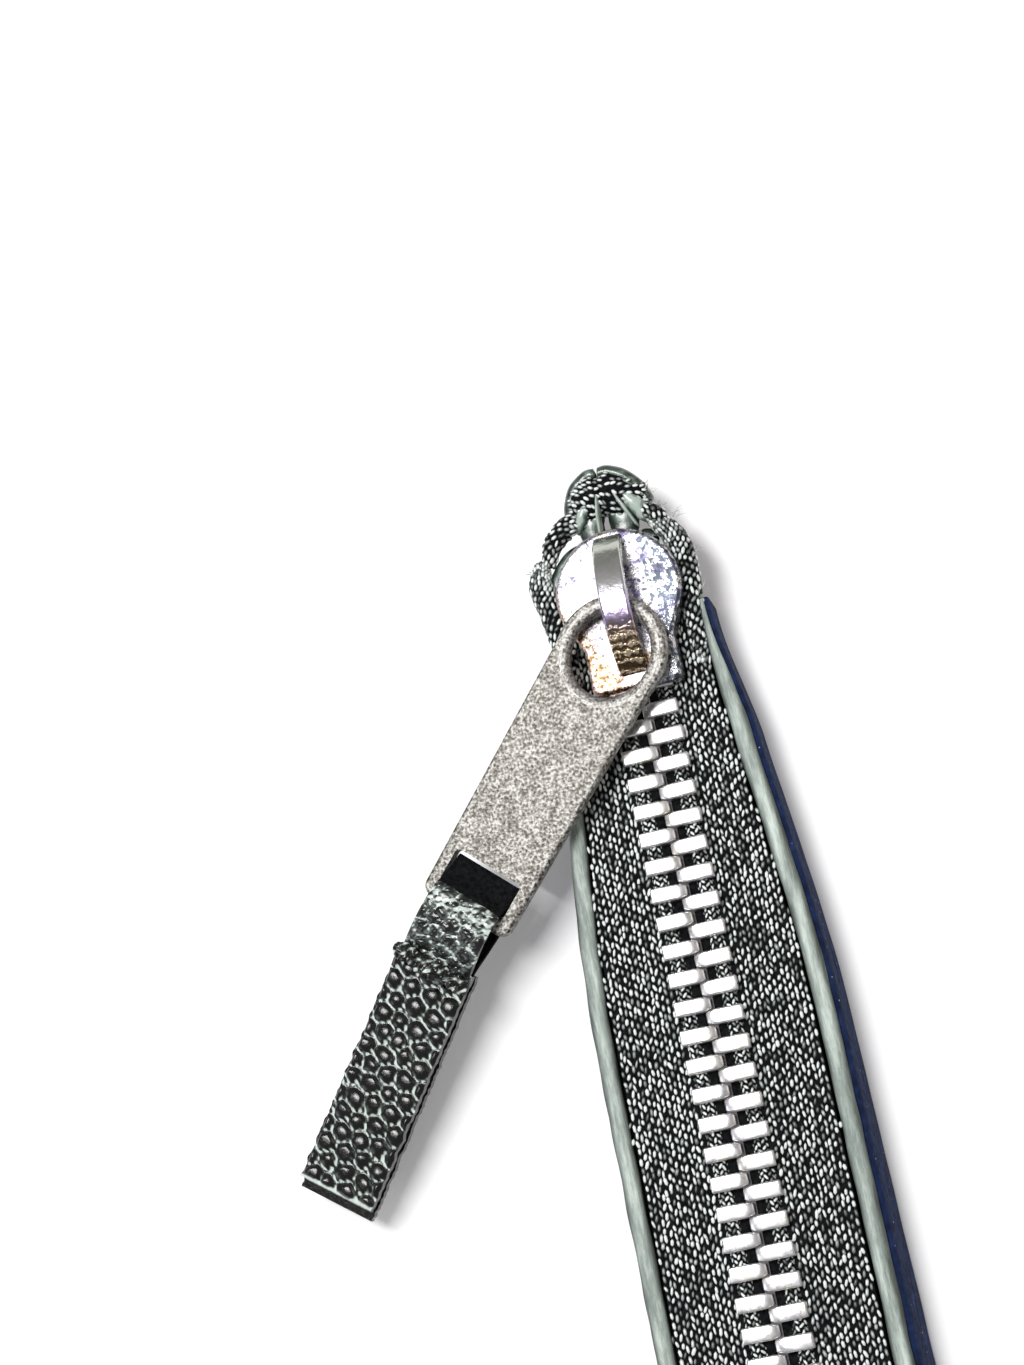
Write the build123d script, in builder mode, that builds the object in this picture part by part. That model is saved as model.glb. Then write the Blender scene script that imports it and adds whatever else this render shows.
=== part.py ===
from build123d import *
import math
import os

# Metal-tooth zipper in leather facings, closed, lying face up.
# X runs across the chain, +Y along it towards the closed end where the slider rests, +Z out of the face.
# The origin is on the chain's centreline, level with the bottom stop, in the plane that the facings stand on.
# All sizes are millimetres.

# ---- driving dimensions ----
chain_length = 150.0  # from the bottom stop to the top stops
tooth_pitch = 2.575
first_tooth_y = 3.0
chain_width = 6.0  # over the outer ends of both rows of teeth
tooth_height = 2.6
tooth_thick = 1.55  # along the chain
tooth_overlap = 0.35  # how far a head passes the centreline
head_thick = 1.15  # along the chain, where the heads pass each other
tape_thick = 0.55
cord_radius = 0.75
cord_x = 1.95
cord_fit = 0.04  # between a cord and the metal clamped on it
spread_per_width = 1.44  # degrees each stringer turns out, for a millimetre of the slider's width
spread_radius = 15.0

tape_level = 5.2  # middle of the tape above the ground plane
opening_half = 9.2  # from the centreline to a facing's inner face
beside_slider = 0.8  # from the slider's crown to a facing's inner face, with the tape between
narrowing_length = 40.0  # over which the facings close in
leather_thick = 1.2
lining_thick = 0.9
edge_height = 0.7  # painted bead on top of the two layers
edge_above_tape = 0.5
hem_depth = 3.4  # how far the tape's margin turns down inside the lining
stitch_length = 2.2
stitch_pitch = 3.1
thread_thick = 0.35

slider_length = 15.4
slider_width = 11.8
slider_neck = 8.4
slider_plate = 1.1
channel_gap = 0.25  # above, below and beside the teeth
tape_slot_gap = 0.2  # above and below the tape
flange_thick = 0.9
bail_width = 2.7
bail_thick = 1.05
bail_clear = 2.75  # free height under the bail
tab_length = 32.5
tab_width = 9.3
eye_width = 10.2  # over the round end
tab_thick = 1.3
tab_corner = 1.0
tab_edge = 0.3  # rounding along the outline
eye_edge = 0.45  # rounding round the hole
tab_yaw = 43.0  # from straight down the chain, towards -X
tab_tilt = 5.0  # the free end hangs lower
tab_gap = 0.8  # between the tab and the slider at the bail
eye_wall = 1.25
eye_hole_width = 7.5
eye_hole_length = 8.3
slot_length = 7.1
slot_width = 3.5
slot_bar = 1.5
bar_clear = 0.12  # all round the bar inside the strap's loop
loop_thick = 0.9
loop_width = 6.7
loop_slack = 3.85  # from the bar's middle to the loop's back, which fills the slot
strap_yaw = 36.5
strap_width = 7.5
strap_length = 24.0  # of the doubled part
strap_layer = 1.1
strap_core_thick = 0.6
tip_step = 1.1  # the lower layer runs on past the upper one
stop_length = 3.2
lobe_width = 1.6  # folded tape beside the crown
tail_length = 3.2  # from the crown to the gathered cap
cap_radius = 3.4
end_tab_length = 13.0
end_tab_width = 12.4
end_leather = 1.2
soft_gap = 0.3  # from a soft piece to its neighbours on another body

# ---- what follows from them ----
half_chain = chain_width / 2
spread_angle = spread_per_width * slider_width
opening_half_top = slider_width / 2 + beside_slider
tape_top = tape_level + tape_thick / 2
tape_low = tape_level - tape_thick / 2
crest = tape_level + edge_above_tape
wall_thick = leather_thick + lining_thick
stop_inset = 12.4  # from the slider's neck end to the middle of a top stop
slider_y = chain_length - stop_inset
spread_start = slider_y + 5.3
teeth_per_side = int((slider_y + 9.4 - first_tooth_y) / tooth_pitch) + 1
plate_inner = tooth_height / 2 + channel_gap
plate_outer = plate_inner + slider_plate
crown_radius = slider_width / 2
crown_y = slider_y + slider_length - crown_radius
facing_start = -2.0
facing_top_right = slider_y + 7.5
facing_top_left = slider_y - 1.5
slider_top = slider_y + slider_length
lobe_inner = slider_width / 2 + soft_gap
lobe_outer = lobe_inner + lobe_width
cap_face_y = slider_top + tail_length
cap_y = cap_face_y + cap_radius * 0.4
narrow_start = facing_top_right - narrowing_length
left, right = -1, 1


def spread_point(y):
    """Where a bead cord runs at height y: its distance from the centreline and how far it has turned."""
    turn = math.radians(spread_angle)
    arc_end = spread_start + spread_radius * math.sin(turn)
    if y <= spread_start:
        return cord_x, 0.0
    if y <= arc_end:
        angle = math.asin((y - spread_start) / spread_radius)
        return cord_x + spread_radius * (1 - math.cos(angle)), math.degrees(angle)
    along = cord_x + spread_radius * (1 - math.cos(turn))
    return along + (y - arc_end) * math.tan(turn), spread_angle


def facing_x(y):
    """Distance from the centreline to the inner face of a facing at height y."""
    share = min(max((y - narrow_start) / narrowing_length, 0.0), 1.0)
    return opening_half - (opening_half - opening_half_top) * (1 - math.cos(math.pi * share)) / 2


def facing_points(inset, top):
    """Points along a facing, moved out by inset, from its lower end to its top."""
    steps = 8
    bend = [narrow_start + (top - narrow_start) * n / steps for n in range(steps + 1)]
    return [(facing_x(y) + inset, y) for y in [facing_start, *bend]]


def facing_band(side, inner, outer, low, high, top):
    """A strip that follows the facing, between two distances from its inner face."""
    near = facing_points(inner, top)
    far = facing_points(outer, top)
    with BuildPart() as band:
        with BuildSketch(Plane.XY.offset(low)):
            with BuildLine():
                Line(near[0], near[1])
                Spline(near[1:], tangents=[(0, 1), (0, 1)])
                Line(near[-1], far[-1])
                Spline(far[1:], tangents=[(0, 1), (0, 1)])
                Line(far[1], far[0])
                Line(far[0], near[0])
            make_face()
        extrude(amount=high - low)
    return band.part if side == right else mirror(band.part, about=Plane.YZ)


def save(piece, name):
    piece.label = name
    export_step(piece, f"parts/{name}.step")


def side_name(side):
    return "left" if side == left else "right"


def facing_top(side):
    return facing_top_left if side == left else facing_top_right


os.makedirs("parts", exist_ok=True)

# ---- bead cord: round, straight down the chain, turned out inside the slider ----
cord_end = slider_y + stop_inset + 1.6
cord_tip_x = spread_point(cord_end)[0]
crown_cord_x = spread_point(crown_y)[0]
corner_y = spread_start + spread_radius * math.tan(math.radians(spread_angle / 2))
with BuildPart() as cord_right:
    with BuildLine():
        FilletPolyline(
            (cord_x, -2.4, tape_level),
            (cord_x, corner_y, tape_level),
            (cord_tip_x, cord_end, tape_level),
            radius=spread_radius,
        )
    with BuildSketch(Plane(origin=(cord_x, -2.4, tape_level), z_dir=(0, 1, 0))):
        Circle(cord_radius)
    sweep()

# ---- tape: flat from the cord to the facing, its margin turned down against the lining ----
tail_half = end_tab_width / 2 - 0.4
tail_gap = 0.12  # from the centreline to each tail behind the crown
lobe_turn = 62  # how far the folded lobe goes round the crown
lobe_end = (
    lobe_outer * math.cos(math.radians(lobe_turn)),
    crown_y + lobe_outer * math.sin(math.radians(lobe_turn)),
)
lobe_inner_end = (
    lobe_inner * math.cos(math.radians(lobe_turn)),
    crown_y + lobe_inner * math.sin(math.radians(lobe_turn)),
)
for side in (left, right):
    top = facing_top(side)
    outer = facing_points(0, top)
    with BuildPart() as tape:
        with BuildSketch(Plane.XY.offset(tape_low)):
            with BuildLine():
                Polyline(
                    (cord_x, -2.4), (0.25, -2.4), (0.25, -3 - end_tab_length), (tail_half, -3 - end_tab_length),
                    (tail_half, facing_start - 0.6), outer[0], outer[1],
                )
                Spline(outer[1:], tangents=[(0, 1), (0, 1)])
                Polyline(
                    outer[-1], (opening_half_top - 0.2, crown_y), (crown_cord_x, crown_y),
                    (cord_x, corner_y), (cord_x, -2.4),
                )
            make_face()
        extrude(amount=tape_thick)
        with BuildSketch(Plane.XY.offset(tape_low)):
            with BuildLine():
                Line((crown_cord_x, crown_y), (lobe_outer, crown_y))
                CenterArc((0, crown_y), lobe_outer, 0, lobe_turn)
                Polyline(
                    lobe_end, (cap_radius * 0.9, cap_face_y), (tail_gap, cap_face_y),
                    (tail_gap, slider_top + soft_gap), (cord_tip_x, slider_top + soft_gap),
                    (cord_tip_x, cord_end), (crown_cord_x, crown_y),
                )
            make_face()
        extrude(amount=tape_thick)
        margin = facing_band(right, -tape_thick, 0, tape_low - hem_depth, tape_low, top)
        add(margin)
        add(cord_right.part, mode=Mode.SUBTRACT)
    with BuildPart() as tape_side:
        add(tape.part if side == right else mirror(tape.part, about=Plane.YZ))
    save(tape_side.part, f"tape_{side_name(side)}")
    with BuildPart() as cord_side:
        add(cord_right.part if side == right else mirror(cord_right.part, about=Plane.YZ))
    save(cord_side.part, f"cord_{side_name(side)}")

# ---- tooth: two legs clamped on the cord and a tapered head that passes the centreline ----
with BuildPart() as tooth:
    with BuildSketch(Plane.XZ.offset(-tooth_thick / 2)):
        with Locations(((half_chain - tooth_overlap) / 2 - cord_x, 0)):
            RectangleRounded(half_chain + tooth_overlap, tooth_height, 0.3)
        Circle(cord_radius + cord_fit, mode=Mode.SUBTRACT)
        with Locations((half_chain / 2, 0)):
            Rectangle(half_chain, tape_thick + cord_fit, mode=Mode.SUBTRACT)
    extrude(amount=tooth_thick)
    head_tip = -cord_x - tooth_overlap
    for way in (-1, 1):
        with BuildSketch(Plane.XY.offset(-tooth_height)):
            with BuildLine():
                Polyline(
                    (head_tip - 0.1, way * head_thick / 2),
                    (head_tip + 1.1, way * head_thick / 2),
                    (head_tip + 1.5, way * tooth_thick / 2),
                    (head_tip + 1.5, way * (tooth_thick / 2 + 0.1)),
                    (head_tip - 0.1, way * (tooth_thick / 2 + 0.1)),
                    close=True,
                )
            make_face()
        extrude(amount=2 * tooth_height, mode=Mode.SUBTRACT)

for side, shift in ((left, 0.0), (right, tooth_pitch / 2)):
    row = []
    for n in range(teeth_per_side):
        y = first_tooth_y + shift + n * tooth_pitch
        if y > slider_y + 9.4:
            continue
        x, turn = spread_point(y)
        turned = Location((side * x, y, tape_level), (0, 0, -side * turn))
        shape = tooth.part if side == right else mirror(tooth.part, about=Plane.YZ)
        row.append(turned * shape)
    save(Compound(children=row), f"teeth_{side_name(side)}")

# ---- stops: a staple on each cord at the top, one across both cords at the bottom ----
for side in (left, right):
    stop_y = slider_y + stop_inset
    x, turn = spread_point(stop_y)
    with BuildPart() as top_stop:
        with BuildSketch(Plane.XZ.offset(-1.1)):
            RectangleRounded(2.4, tooth_height, 0.35)
            Circle(cord_radius + cord_fit, mode=Mode.SUBTRACT)
            with Locations((1, 0)):
                Rectangle(2, tape_thick + cord_fit, mode=Mode.SUBTRACT)
        extrude(amount=2.2)
    shape = top_stop.part if side == right else mirror(top_stop.part, about=Plane.YZ)
    save(Location((side * x, stop_y, tape_level), (0, 0, -side * turn)) * shape, f"top_stop_{side_name(side)}")

with BuildPart() as bottom_stop:
    with BuildSketch(Plane.XZ.offset(-stop_length / 2)):
        with Locations((0, tape_level)):
            RectangleRounded(chain_width + 0.4, tooth_height + 0.3, 0.5)
        for side in (left, right):
            with Locations((side * cord_x, tape_level)):
                Circle(cord_radius + cord_fit, mode=Mode.SUBTRACT)
            with Locations((side * (cord_x + half_chain / 2), tape_level)):
                Rectangle(half_chain, tape_thick + cord_fit, mode=Mode.SUBTRACT)
    extrude(amount=stop_length)
save(bottom_stop.part, "bottom_stop")

# ---- end tab: two leather layers with the tape's ends between them, and its stitching ----
end_y = -3 - end_tab_length / 2
for name, low in (("end_tab_top", tape_top + 0.05), ("end_tab_bottom", tape_low - 0.05 - end_leather)):
    with BuildPart() as layer:
        with BuildSketch(Plane.XY.offset(low)):
            with Locations((0, end_y - 0.4)):
                RectangleRounded(end_tab_width, end_tab_length, 1.8)
        extrude(amount=end_leather)
    save(layer.part, name)

with BuildPart() as end_thread:
    inset = 1.5
    across = end_tab_width / 2 - inset
    along = end_tab_length / 2 - inset
    lay = tape_top + 0.05 + end_leather + thread_thick / 2
    with Locations(*[(s * across, end_y - 0.4 + y, lay) for s in (left, right) for y in (-3.6, 0, 3.6)]):
        Box(thread_thick, stitch_length, thread_thick)
    with Locations(*[(x, end_y - 0.4 + s * along, lay) for s in (left, right) for x in (-2.8, 0, 2.8)]):
        Box(stitch_length, thread_thick, thread_thick)
save(end_thread.part, "end_tab_thread")

# ---- facings: outer leather, lining and a painted bead along the top, with the seam inside ----
for side in (left, right):
    name, top = side_name(side), facing_top(side)
    bead_low = crest - edge_height
    save(facing_band(side, lining_thick, wall_thick, 0, bead_low, top), f"facing_{name}")
    save(facing_band(side, 0, lining_thick, 0, bead_low, top), f"lining_{name}")
    with BuildPart() as bead:
        add(facing_band(right, 0.02, wall_thick, bead_low, crest, top))
        fillet(bead.faces().sort_by(Axis.Z)[-1].outer_wire().edges(), 0.5)
    save(bead.part if side == right else mirror(bead.part, about=Plane.YZ), f"edge_{name}")
    seam_z = tape_low - hem_depth + 1.1
    stitches = []
    with BuildPart() as stitch:
        Box(thread_thick, stitch_length, thread_thick)
    seam_count = int((top - facing_start - stitch_length) / stitch_pitch)
    for n in range(seam_count):
        y = facing_start + stitch_length + n * stitch_pitch
        slope = (facing_x(y + 0.5) - facing_x(y - 0.5)) * side
        x = facing_x(y) - tape_thick - thread_thick / 2 - 0.02
        turn = -math.degrees(math.atan(slope))
        stitches.append(Location((side * x, y, seam_z), (0, 0, turn)) * stitch.part)
    save(Compound(children=stitches), f"seam_{name}")

# ---- top end of each tape: a folded lobe beside the crown, pleats, and half of the gathered cap ----
lobe_fold = 1.0  # folded tape above and below the flat layer
pleat_width = 1.35
outer_pleat = lobe_end[0] - 0.25 - pleat_width  # it tucks under the lobe's end
pleat_height = 0.9
cap_high, cap_low = 2.0, 1.6
for side in (left, right):
    name = side_name(side)
    with BuildPart() as lobe:
        with BuildSketch(Plane.XY.offset(tape_low - lobe_fold)):
            with BuildLine():
                Line((lobe_inner, crown_y), (lobe_outer, crown_y))
                CenterArc((0, crown_y), lobe_outer, 0, lobe_turn)
                Line(lobe_end, lobe_inner_end)
                CenterArc((0, crown_y), lobe_inner, 0, lobe_turn)
            make_face()
        extrude(amount=tape_thick + 2 * lobe_fold)
        with BuildSketch(Plane.XY.offset(tape_low)):
            with Locations((lobe_outer / 2, crown_y)):
                Rectangle(lobe_outer + 2, 4 * lobe_outer)
        extrude(amount=tape_thick, mode=Mode.SUBTRACT)
        add(cord_right.part, mode=Mode.SUBTRACT)
    save(lobe.part if side == right else mirror(lobe.part, about=Plane.YZ), f"tail_{name}")

    with BuildPart() as cap:
        with Locations((tail_gap, cap_y, tape_level)):
            Sphere(cap_radius)
        cap_middle = ((cap_face_y + cap_y + cap_radius) / 2, tape_level + (cap_high - cap_low) / 2)
        with Locations((tail_gap + cap_radius, *cap_middle)):
            Box(2 * cap_radius, cap_y + cap_radius - cap_face_y, cap_high + cap_low, mode=Mode.INTERSECT)
    save(cap.part if side == right else mirror(cap.part, about=Plane.YZ), f"cap_{name}")

    pleat_low = slider_top + soft_gap
    pleats = []
    for start, end in ((0.35, 0.2), (outer_pleat, 1.1)):
        with BuildPart() as pleat:
            with BuildSketch(Plane.XY.offset(tape_top)):
                with BuildLine():
                    Polyline(
                        (start, pleat_low), (start + pleat_width, pleat_low),
                        (end + pleat_width / 2, cap_face_y), (end, cap_face_y), close=True,
                    )
                make_face()
            extrude(amount=pleat_height)
        pleats.append(pleat.part if side == right else mirror(pleat.part, about=Plane.YZ))
    save(Compound(children=pleats), f"pleats_{name}")

# ---- slider: two plates, side flanges that leave a slot for the tape, and the diamond between ----
neck_half = slider_neck / 2
with BuildSketch(Plane.XY) as slider_outline:
    with Locations((0, crown_y)):
        Circle(crown_radius)
    with BuildLine():
        Polyline(
            (-neck_half, slider_y), (neck_half, slider_y), (neck_half, slider_y + 4.4),
            (crown_radius * 0.97, crown_y - 1.4), (-crown_radius * 0.97, crown_y - 1.4),
            (-neck_half, slider_y + 4.4), close=True,
        )
    make_face()
    fillet(slider_outline.vertices().group_by(Axis.Y)[0], 0.8)

flange_inner_low = half_chain + channel_gap
with BuildPart() as slider_body:
    with BuildSketch(Plane.XY.offset(tape_level - plate_outer)):
        add(slider_outline.sketch)
    extrude(amount=2 * plate_outer)
    with BuildSketch(Plane.XY.offset(tape_level - plate_inner)):
        with BuildLine():
            Polyline(
                (-flange_inner_low, slider_y - 1), (flange_inner_low, slider_y - 1),
                (flange_inner_low, slider_y + 4.2), (crown_radius - flange_thick, crown_y - 1.2),
                (crown_radius - flange_thick, crown_y), (crown_radius + 1, crown_y),
                (crown_radius + 1, crown_y + 8), (-crown_radius - 1, crown_y + 8),
                (-crown_radius - 1, crown_y), (-crown_radius + flange_thick, crown_y),
                (-crown_radius + flange_thick, crown_y - 1.2), (-flange_inner_low, slider_y + 4.2), close=True,
            )
        make_face()
    extrude(amount=2 * plate_inner, mode=Mode.SUBTRACT)
    with BuildSketch(Plane.XY.offset(tape_level - tape_thick / 2 - tape_slot_gap)):
        with Locations((0, slider_y + slider_length / 2)):
            Rectangle(slider_width + 4, slider_length + 4)
    extrude(amount=tape_thick + 2 * tape_slot_gap, mode=Mode.SUBTRACT)
    with BuildSketch(Plane.XY.offset(tape_level - plate_inner)):
        with BuildLine():
            Polyline(
                (0, slider_y + 10.4), (1.1, slider_y + 12.6), (0.8, slider_y + 14.7),
                (-0.8, slider_y + 14.7), (-1.1, slider_y + 12.6), close=True,
            )
        make_face()
    extrude(amount=2 * plate_inner)
    plate_rim = slider_body.faces().sort_by(Axis.Z)[-1].outer_wire().edges()
    fillet(plate_rim, 0.45)
    back_rim = slider_body.faces().sort_by(Axis.Z)[0].outer_wire().edges()
    fillet(back_rim, 0.45)
save(slider_body.part, "slider_body")

# ---- bail: a flat strap bent into an arch over the slider ----
face_z = tape_level + plate_outer
bail_low, bail_high = slider_y + 1.3, slider_y + slider_length - 0.7
bail_mid = (bail_low + bail_high) / 2
with BuildPart() as bail:
    with BuildSketch(Plane.YZ.offset(-bail_width / 2)):
        with BuildLine():
            Line((bail_low, face_z), (bail_low + bail_thick, face_z))
            ThreePointArc(
                (bail_low + bail_thick, face_z), (bail_mid, face_z + bail_clear), (bail_high - bail_thick, face_z)
            )
            Line((bail_high - bail_thick, face_z), (bail_high, face_z))
            ThreePointArc((bail_high, face_z), (bail_mid, face_z + bail_clear + bail_thick), (bail_low, face_z))
        make_face()
    extrude(amount=bail_width)
    fillet(bail.edges().filter_by(GeomType.CIRCLE), 0.3)
save(bail.part, "slider_bail")

# ---- pull tab: its eye hangs on the bail, its slot holds the strap ----
yaw, tilt = math.radians(tab_yaw), math.radians(tab_tilt)
tab_down = Vector(-math.sin(yaw) * math.cos(tilt), -math.cos(yaw) * math.cos(tilt), -math.sin(tilt))
tab_across = Vector(math.cos(yaw), -math.sin(yaw), 0)
tab_up = tab_across.cross(-tab_down)
eye_radius = eye_width / 2
arc_radius = eye_radius - eye_wall / 2
hook_x = 1.5  # sideways from the bail's middle to the eye's centre
hook_y = slider_y + 7.7
hook_z = face_z + tab_gap + tab_thick / 2
eye_centre = Vector(-hook_x, hook_y - math.sqrt(arc_radius**2 - hook_x**2), hook_z)
tab_plane = Plane(origin=eye_centre, x_dir=tab_across, z_dir=tab_up)
drop_to_hook = tab_plane.from_local_coords(Vector(0, arc_radius, 0)).Z - hook_z
tab_plane = tab_plane.move(Location((0, 0, -drop_to_hook)))
tab_end = eye_radius - tab_length
bar_y = tab_end + slot_bar / 2
slot_mid = tab_end + slot_bar + slot_width / 2
hole_mid = eye_radius - eye_wall - eye_hole_length / 2
with BuildPart() as pull_tab:
    with BuildSketch(tab_plane.offset(-tab_thick / 2)):
        Circle(eye_radius)
        with BuildLine():
            Polyline(
                (-eye_radius * 0.99, 0), (eye_radius * 0.99, 0), (tab_width / 2, tab_end),
                (-tab_width / 2, tab_end), close=True,
            )
        make_face()
        with Locations((0, hole_mid)):
            Ellipse(eye_hole_width / 2, eye_hole_length / 2, mode=Mode.SUBTRACT)
        with Locations((0, slot_mid)):
            RectangleRounded(slot_length, slot_width, 0.5, mode=Mode.SUBTRACT)
    extrude(amount=tab_thick)
    ends = pull_tab.edges().filter_by(lambda e: e.length < tab_thick * 1.01 and e.geom_type == GeomType.LINE)
    corners = [e for e in ends if tab_plane.to_local_coords(e.center()).Y < tab_end + 0.1]
    fillet(corners, tab_corner)
    flats = pull_tab.faces().filter_by(GeomType.PLANE).sort_by(SortBy.AREA)[-2:]
    fillet([e for flat in flats for e in flat.outer_wire().edges()], tab_edge)
    flats = pull_tab.faces().filter_by(GeomType.PLANE).sort_by(SortBy.AREA)[-2:]
    eye_rims = [e for flat in flats for w in flat.inner_wires() for e in w.edges() if len(w.edges()) == 1]
    fillet(eye_rims, eye_edge)
save(pull_tab.part, "pull_tab")

# ---- leather strap: a loop round the tab's bar, and two layers with a core between them ----
bar_centre = tab_plane.from_local_coords(Vector(0, bar_y, 0))
bar_reach = math.hypot(slot_bar / 2, tab_thick / 2)
loop_inner = bar_reach + bar_clear
loop_outer = loop_inner + loop_thick
neck_length = 5.0  # from the bar's middle to where the outer layers start
side_plane = Plane(origin=bar_centre, x_dir=tab_down, z_dir=tab_across)
skived = strap_core_thick
with BuildPart() as strap_loop:
    with BuildSketch(side_plane.offset(-loop_width / 2)):
        Circle(loop_outer)
        with BuildLine():
            Polyline(
                (0, loop_outer), (neck_length - 0.6, skived / 2 + 0.9), (neck_length, skived / 2),
                (neck_length, -skived / 2), (neck_length - 0.6, -skived / 2 - 0.9), (0, -loop_outer), close=True,
            )
        make_face()
        with BuildLine():
            Polyline(
                (0, loop_outer), (-loop_slack, 0.1), (-loop_slack, -tab_thick / 2), (0, -loop_outer), close=True,
            )
        make_face()
        Circle(loop_inner, mode=Mode.SUBTRACT)
    extrude(amount=loop_width)
save(strap_loop.part, "strap_loop")

turn = math.radians(tab_yaw - strap_yaw)
strap_down = tab_down * math.cos(turn) + tab_across * math.sin(turn)
strap_across = tab_across * math.cos(turn) - tab_down * math.sin(turn)
strap_start = bar_centre + tab_down * neck_length + strap_down * 0.45
strap_plane = Plane(origin=strap_start, x_dir=strap_across, z_dir=tab_up)
half_core = strap_core_thick / 2
for name, low, high, width, length in (
    ("strap_core", -half_core, half_core, strap_width - 0.8, strap_length - 0.6),
    ("strap_top", half_core, half_core + strap_layer, strap_width, strap_length - tip_step),
    ("strap_bottom", -half_core - strap_layer, -half_core, strap_width, strap_length),
):
    with BuildPart() as layer:
        with BuildSketch(strap_plane.offset(low)):
            with Locations((0, -length / 2)):
                Rectangle(width, length)
        extrude(amount=high - low)
    save(layer.part, name)

lip_height = 0.7
with BuildPart() as strap_lip:
    with BuildSketch(strap_plane.offset(half_core + strap_layer)):
        with Locations((0, -1.2)):
            RectangleRounded(strap_width, 2.0, 0.4)
    extrude(amount=lip_height)
save(strap_lip.part, "strap_lip")

# ---- where the joints are ----
hinge_turn = math.degrees(math.atan2(eye_centre.Y - hook_y, -hook_x)) + 90
print("slider travel", slider_y - stop_length / 2 - 1.0)
print("pull hinge at", 0, hook_y, hook_z, "axis turned", hinge_turn)
print("strap hinge at", bar_centre, "axis", tab_across)
print("stringer pivot at", 0, 0, tape_level)
print("teeth per side", teeth_per_side)
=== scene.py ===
# %% [markdown]
# # A metal zipper with a leather strap on its pull
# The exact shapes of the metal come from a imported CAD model, which is loaded here as a fixed frame.
# Around that frame this script makes what CAD does badly: woven tape, pebbled leather, painted edges and worn metal.
# Every length below is in metres, so a small helper value turns millimetres into metres.

# %% Load the frame
import math

import bmesh
import bpy
import numpy as np
from mathutils import Matrix, Vector


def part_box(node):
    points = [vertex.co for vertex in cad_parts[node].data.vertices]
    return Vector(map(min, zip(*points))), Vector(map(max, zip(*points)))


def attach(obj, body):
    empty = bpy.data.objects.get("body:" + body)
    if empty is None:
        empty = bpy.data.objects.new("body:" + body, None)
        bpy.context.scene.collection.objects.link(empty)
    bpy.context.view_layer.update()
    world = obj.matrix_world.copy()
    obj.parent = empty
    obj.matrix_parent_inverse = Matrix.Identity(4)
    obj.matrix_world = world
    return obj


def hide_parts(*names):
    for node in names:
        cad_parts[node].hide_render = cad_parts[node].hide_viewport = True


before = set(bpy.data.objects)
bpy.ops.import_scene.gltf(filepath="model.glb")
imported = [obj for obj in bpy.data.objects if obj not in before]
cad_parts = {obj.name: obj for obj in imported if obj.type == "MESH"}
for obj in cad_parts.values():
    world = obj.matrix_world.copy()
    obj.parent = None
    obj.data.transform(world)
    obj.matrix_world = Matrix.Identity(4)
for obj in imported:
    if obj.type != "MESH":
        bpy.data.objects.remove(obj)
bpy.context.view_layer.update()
mm = 0.001
LEFT, RIGHT = -1, 1
SIDE_NAME = {LEFT: "left", RIGHT: "right"}
STRINGER = {LEFT: "left_stringer", RIGHT: "right_stringer"}

# %% [markdown]
# ## Camera
# The camera stands above the lower half of the chain and looks up towards the slider, a little from the right.
# A lens of 64 mm on a 36 mm sensor gives the mild perspective that makes the lower teeth larger than the upper ones.
# Its direction comes from a target point and an up direction, which is easier to read than three angles.

# %% Camera
camera_place = Vector((31.95, 81.78, 218.57)) * mm
camera_target = Vector((-11.62, 141.33, 6.5)) * mm
camera_up = Vector((0.2406, 0.9462, 0.2163))
camera_data = bpy.data.cameras.new("camera")
camera_data.lens = 64.09
camera_data.sensor_width = 36.0
camera_data.clip_start, camera_data.clip_end = 0.01, 20.0
camera = bpy.data.objects.new("camera", camera_data)
bpy.context.scene.collection.objects.link(camera)
backward = (camera_place - camera_target).normalized()
rightward = camera_up.cross(backward).normalized()
upward = backward.cross(rightward)
turn = Matrix((rightward, upward, backward)).transposed()
camera.matrix_world = Matrix.Translation(camera_place) @ turn.to_4x4()
bpy.context.scene.camera = camera
print("camera distance in mm", round((camera_place - camera_target).length / mm, 1))

# %% [markdown]
# ## Light and floor
# A strong key stands high on the left, where flat metal and leather mirror it into the camera, so they sparkle.
# The surround is dim, which keeps black thread and leather black; two weak side lights tint the edges of the metal.
# The standard view transform keeps blacks deep and lets the brightest metal burn out.

# %% Light and floor
scene = bpy.context.scene
scene.view_settings.view_transform = "Standard"
scene.view_settings.look = "None"


def area_light(name, place, target, size, watts, colour=(1, 1, 1)):
    """A soft rectangular light at a place, aimed at a target, all in millimetres."""
    data = bpy.data.lights.new(name, "AREA")
    data.shape = "RECTANGLE"
    data.size, data.size_y, data.energy, data.color = size[0] * mm, size[1] * mm, watts, colour
    lamp = bpy.data.objects.new(name, data)
    lamp.location = Vector(place) * mm
    lamp.rotation_mode = "QUATERNION"
    lamp.rotation_quaternion = (Vector(target) * mm - lamp.location).to_track_quat("-Z", "Y")
    scene.collection.objects.link(lamp)
    return lamp


area_light("key", (-105, 215, 434), (-10, 120, 0), (130, 210), 1.85)
area_light("warm_side", (330, 190, 190), (0, 120, 0), (160, 160), 0.10, (1.0, 0.86, 0.74))
area_light("cool_side", (-360, 20, 170), (0, 120, 0), (160, 160), 0.22, (0.86, 0.9, 1.0))

world = bpy.data.worlds.new("surround")
scene.world = world
world.use_nodes = True
world.node_tree.nodes["Background"].inputs["Color"].default_value = (1.0, 0.99, 0.985, 1)
world.node_tree.nodes["Background"].inputs["Strength"].default_value = 0.30

# %% [markdown]
# ## Helpers for shaping
# Most pieces start as a grid primitive whose vertices are then put in place by a small function.
# That is like pulling a flat cloth over a form by hand, and it keeps neat rows that subdivide and shade well.
# Numbers in these helpers are in millimetres, and the mesh is written in metres.

# %% Helpers for shaping
rng = np.random.default_rng(12)


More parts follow.
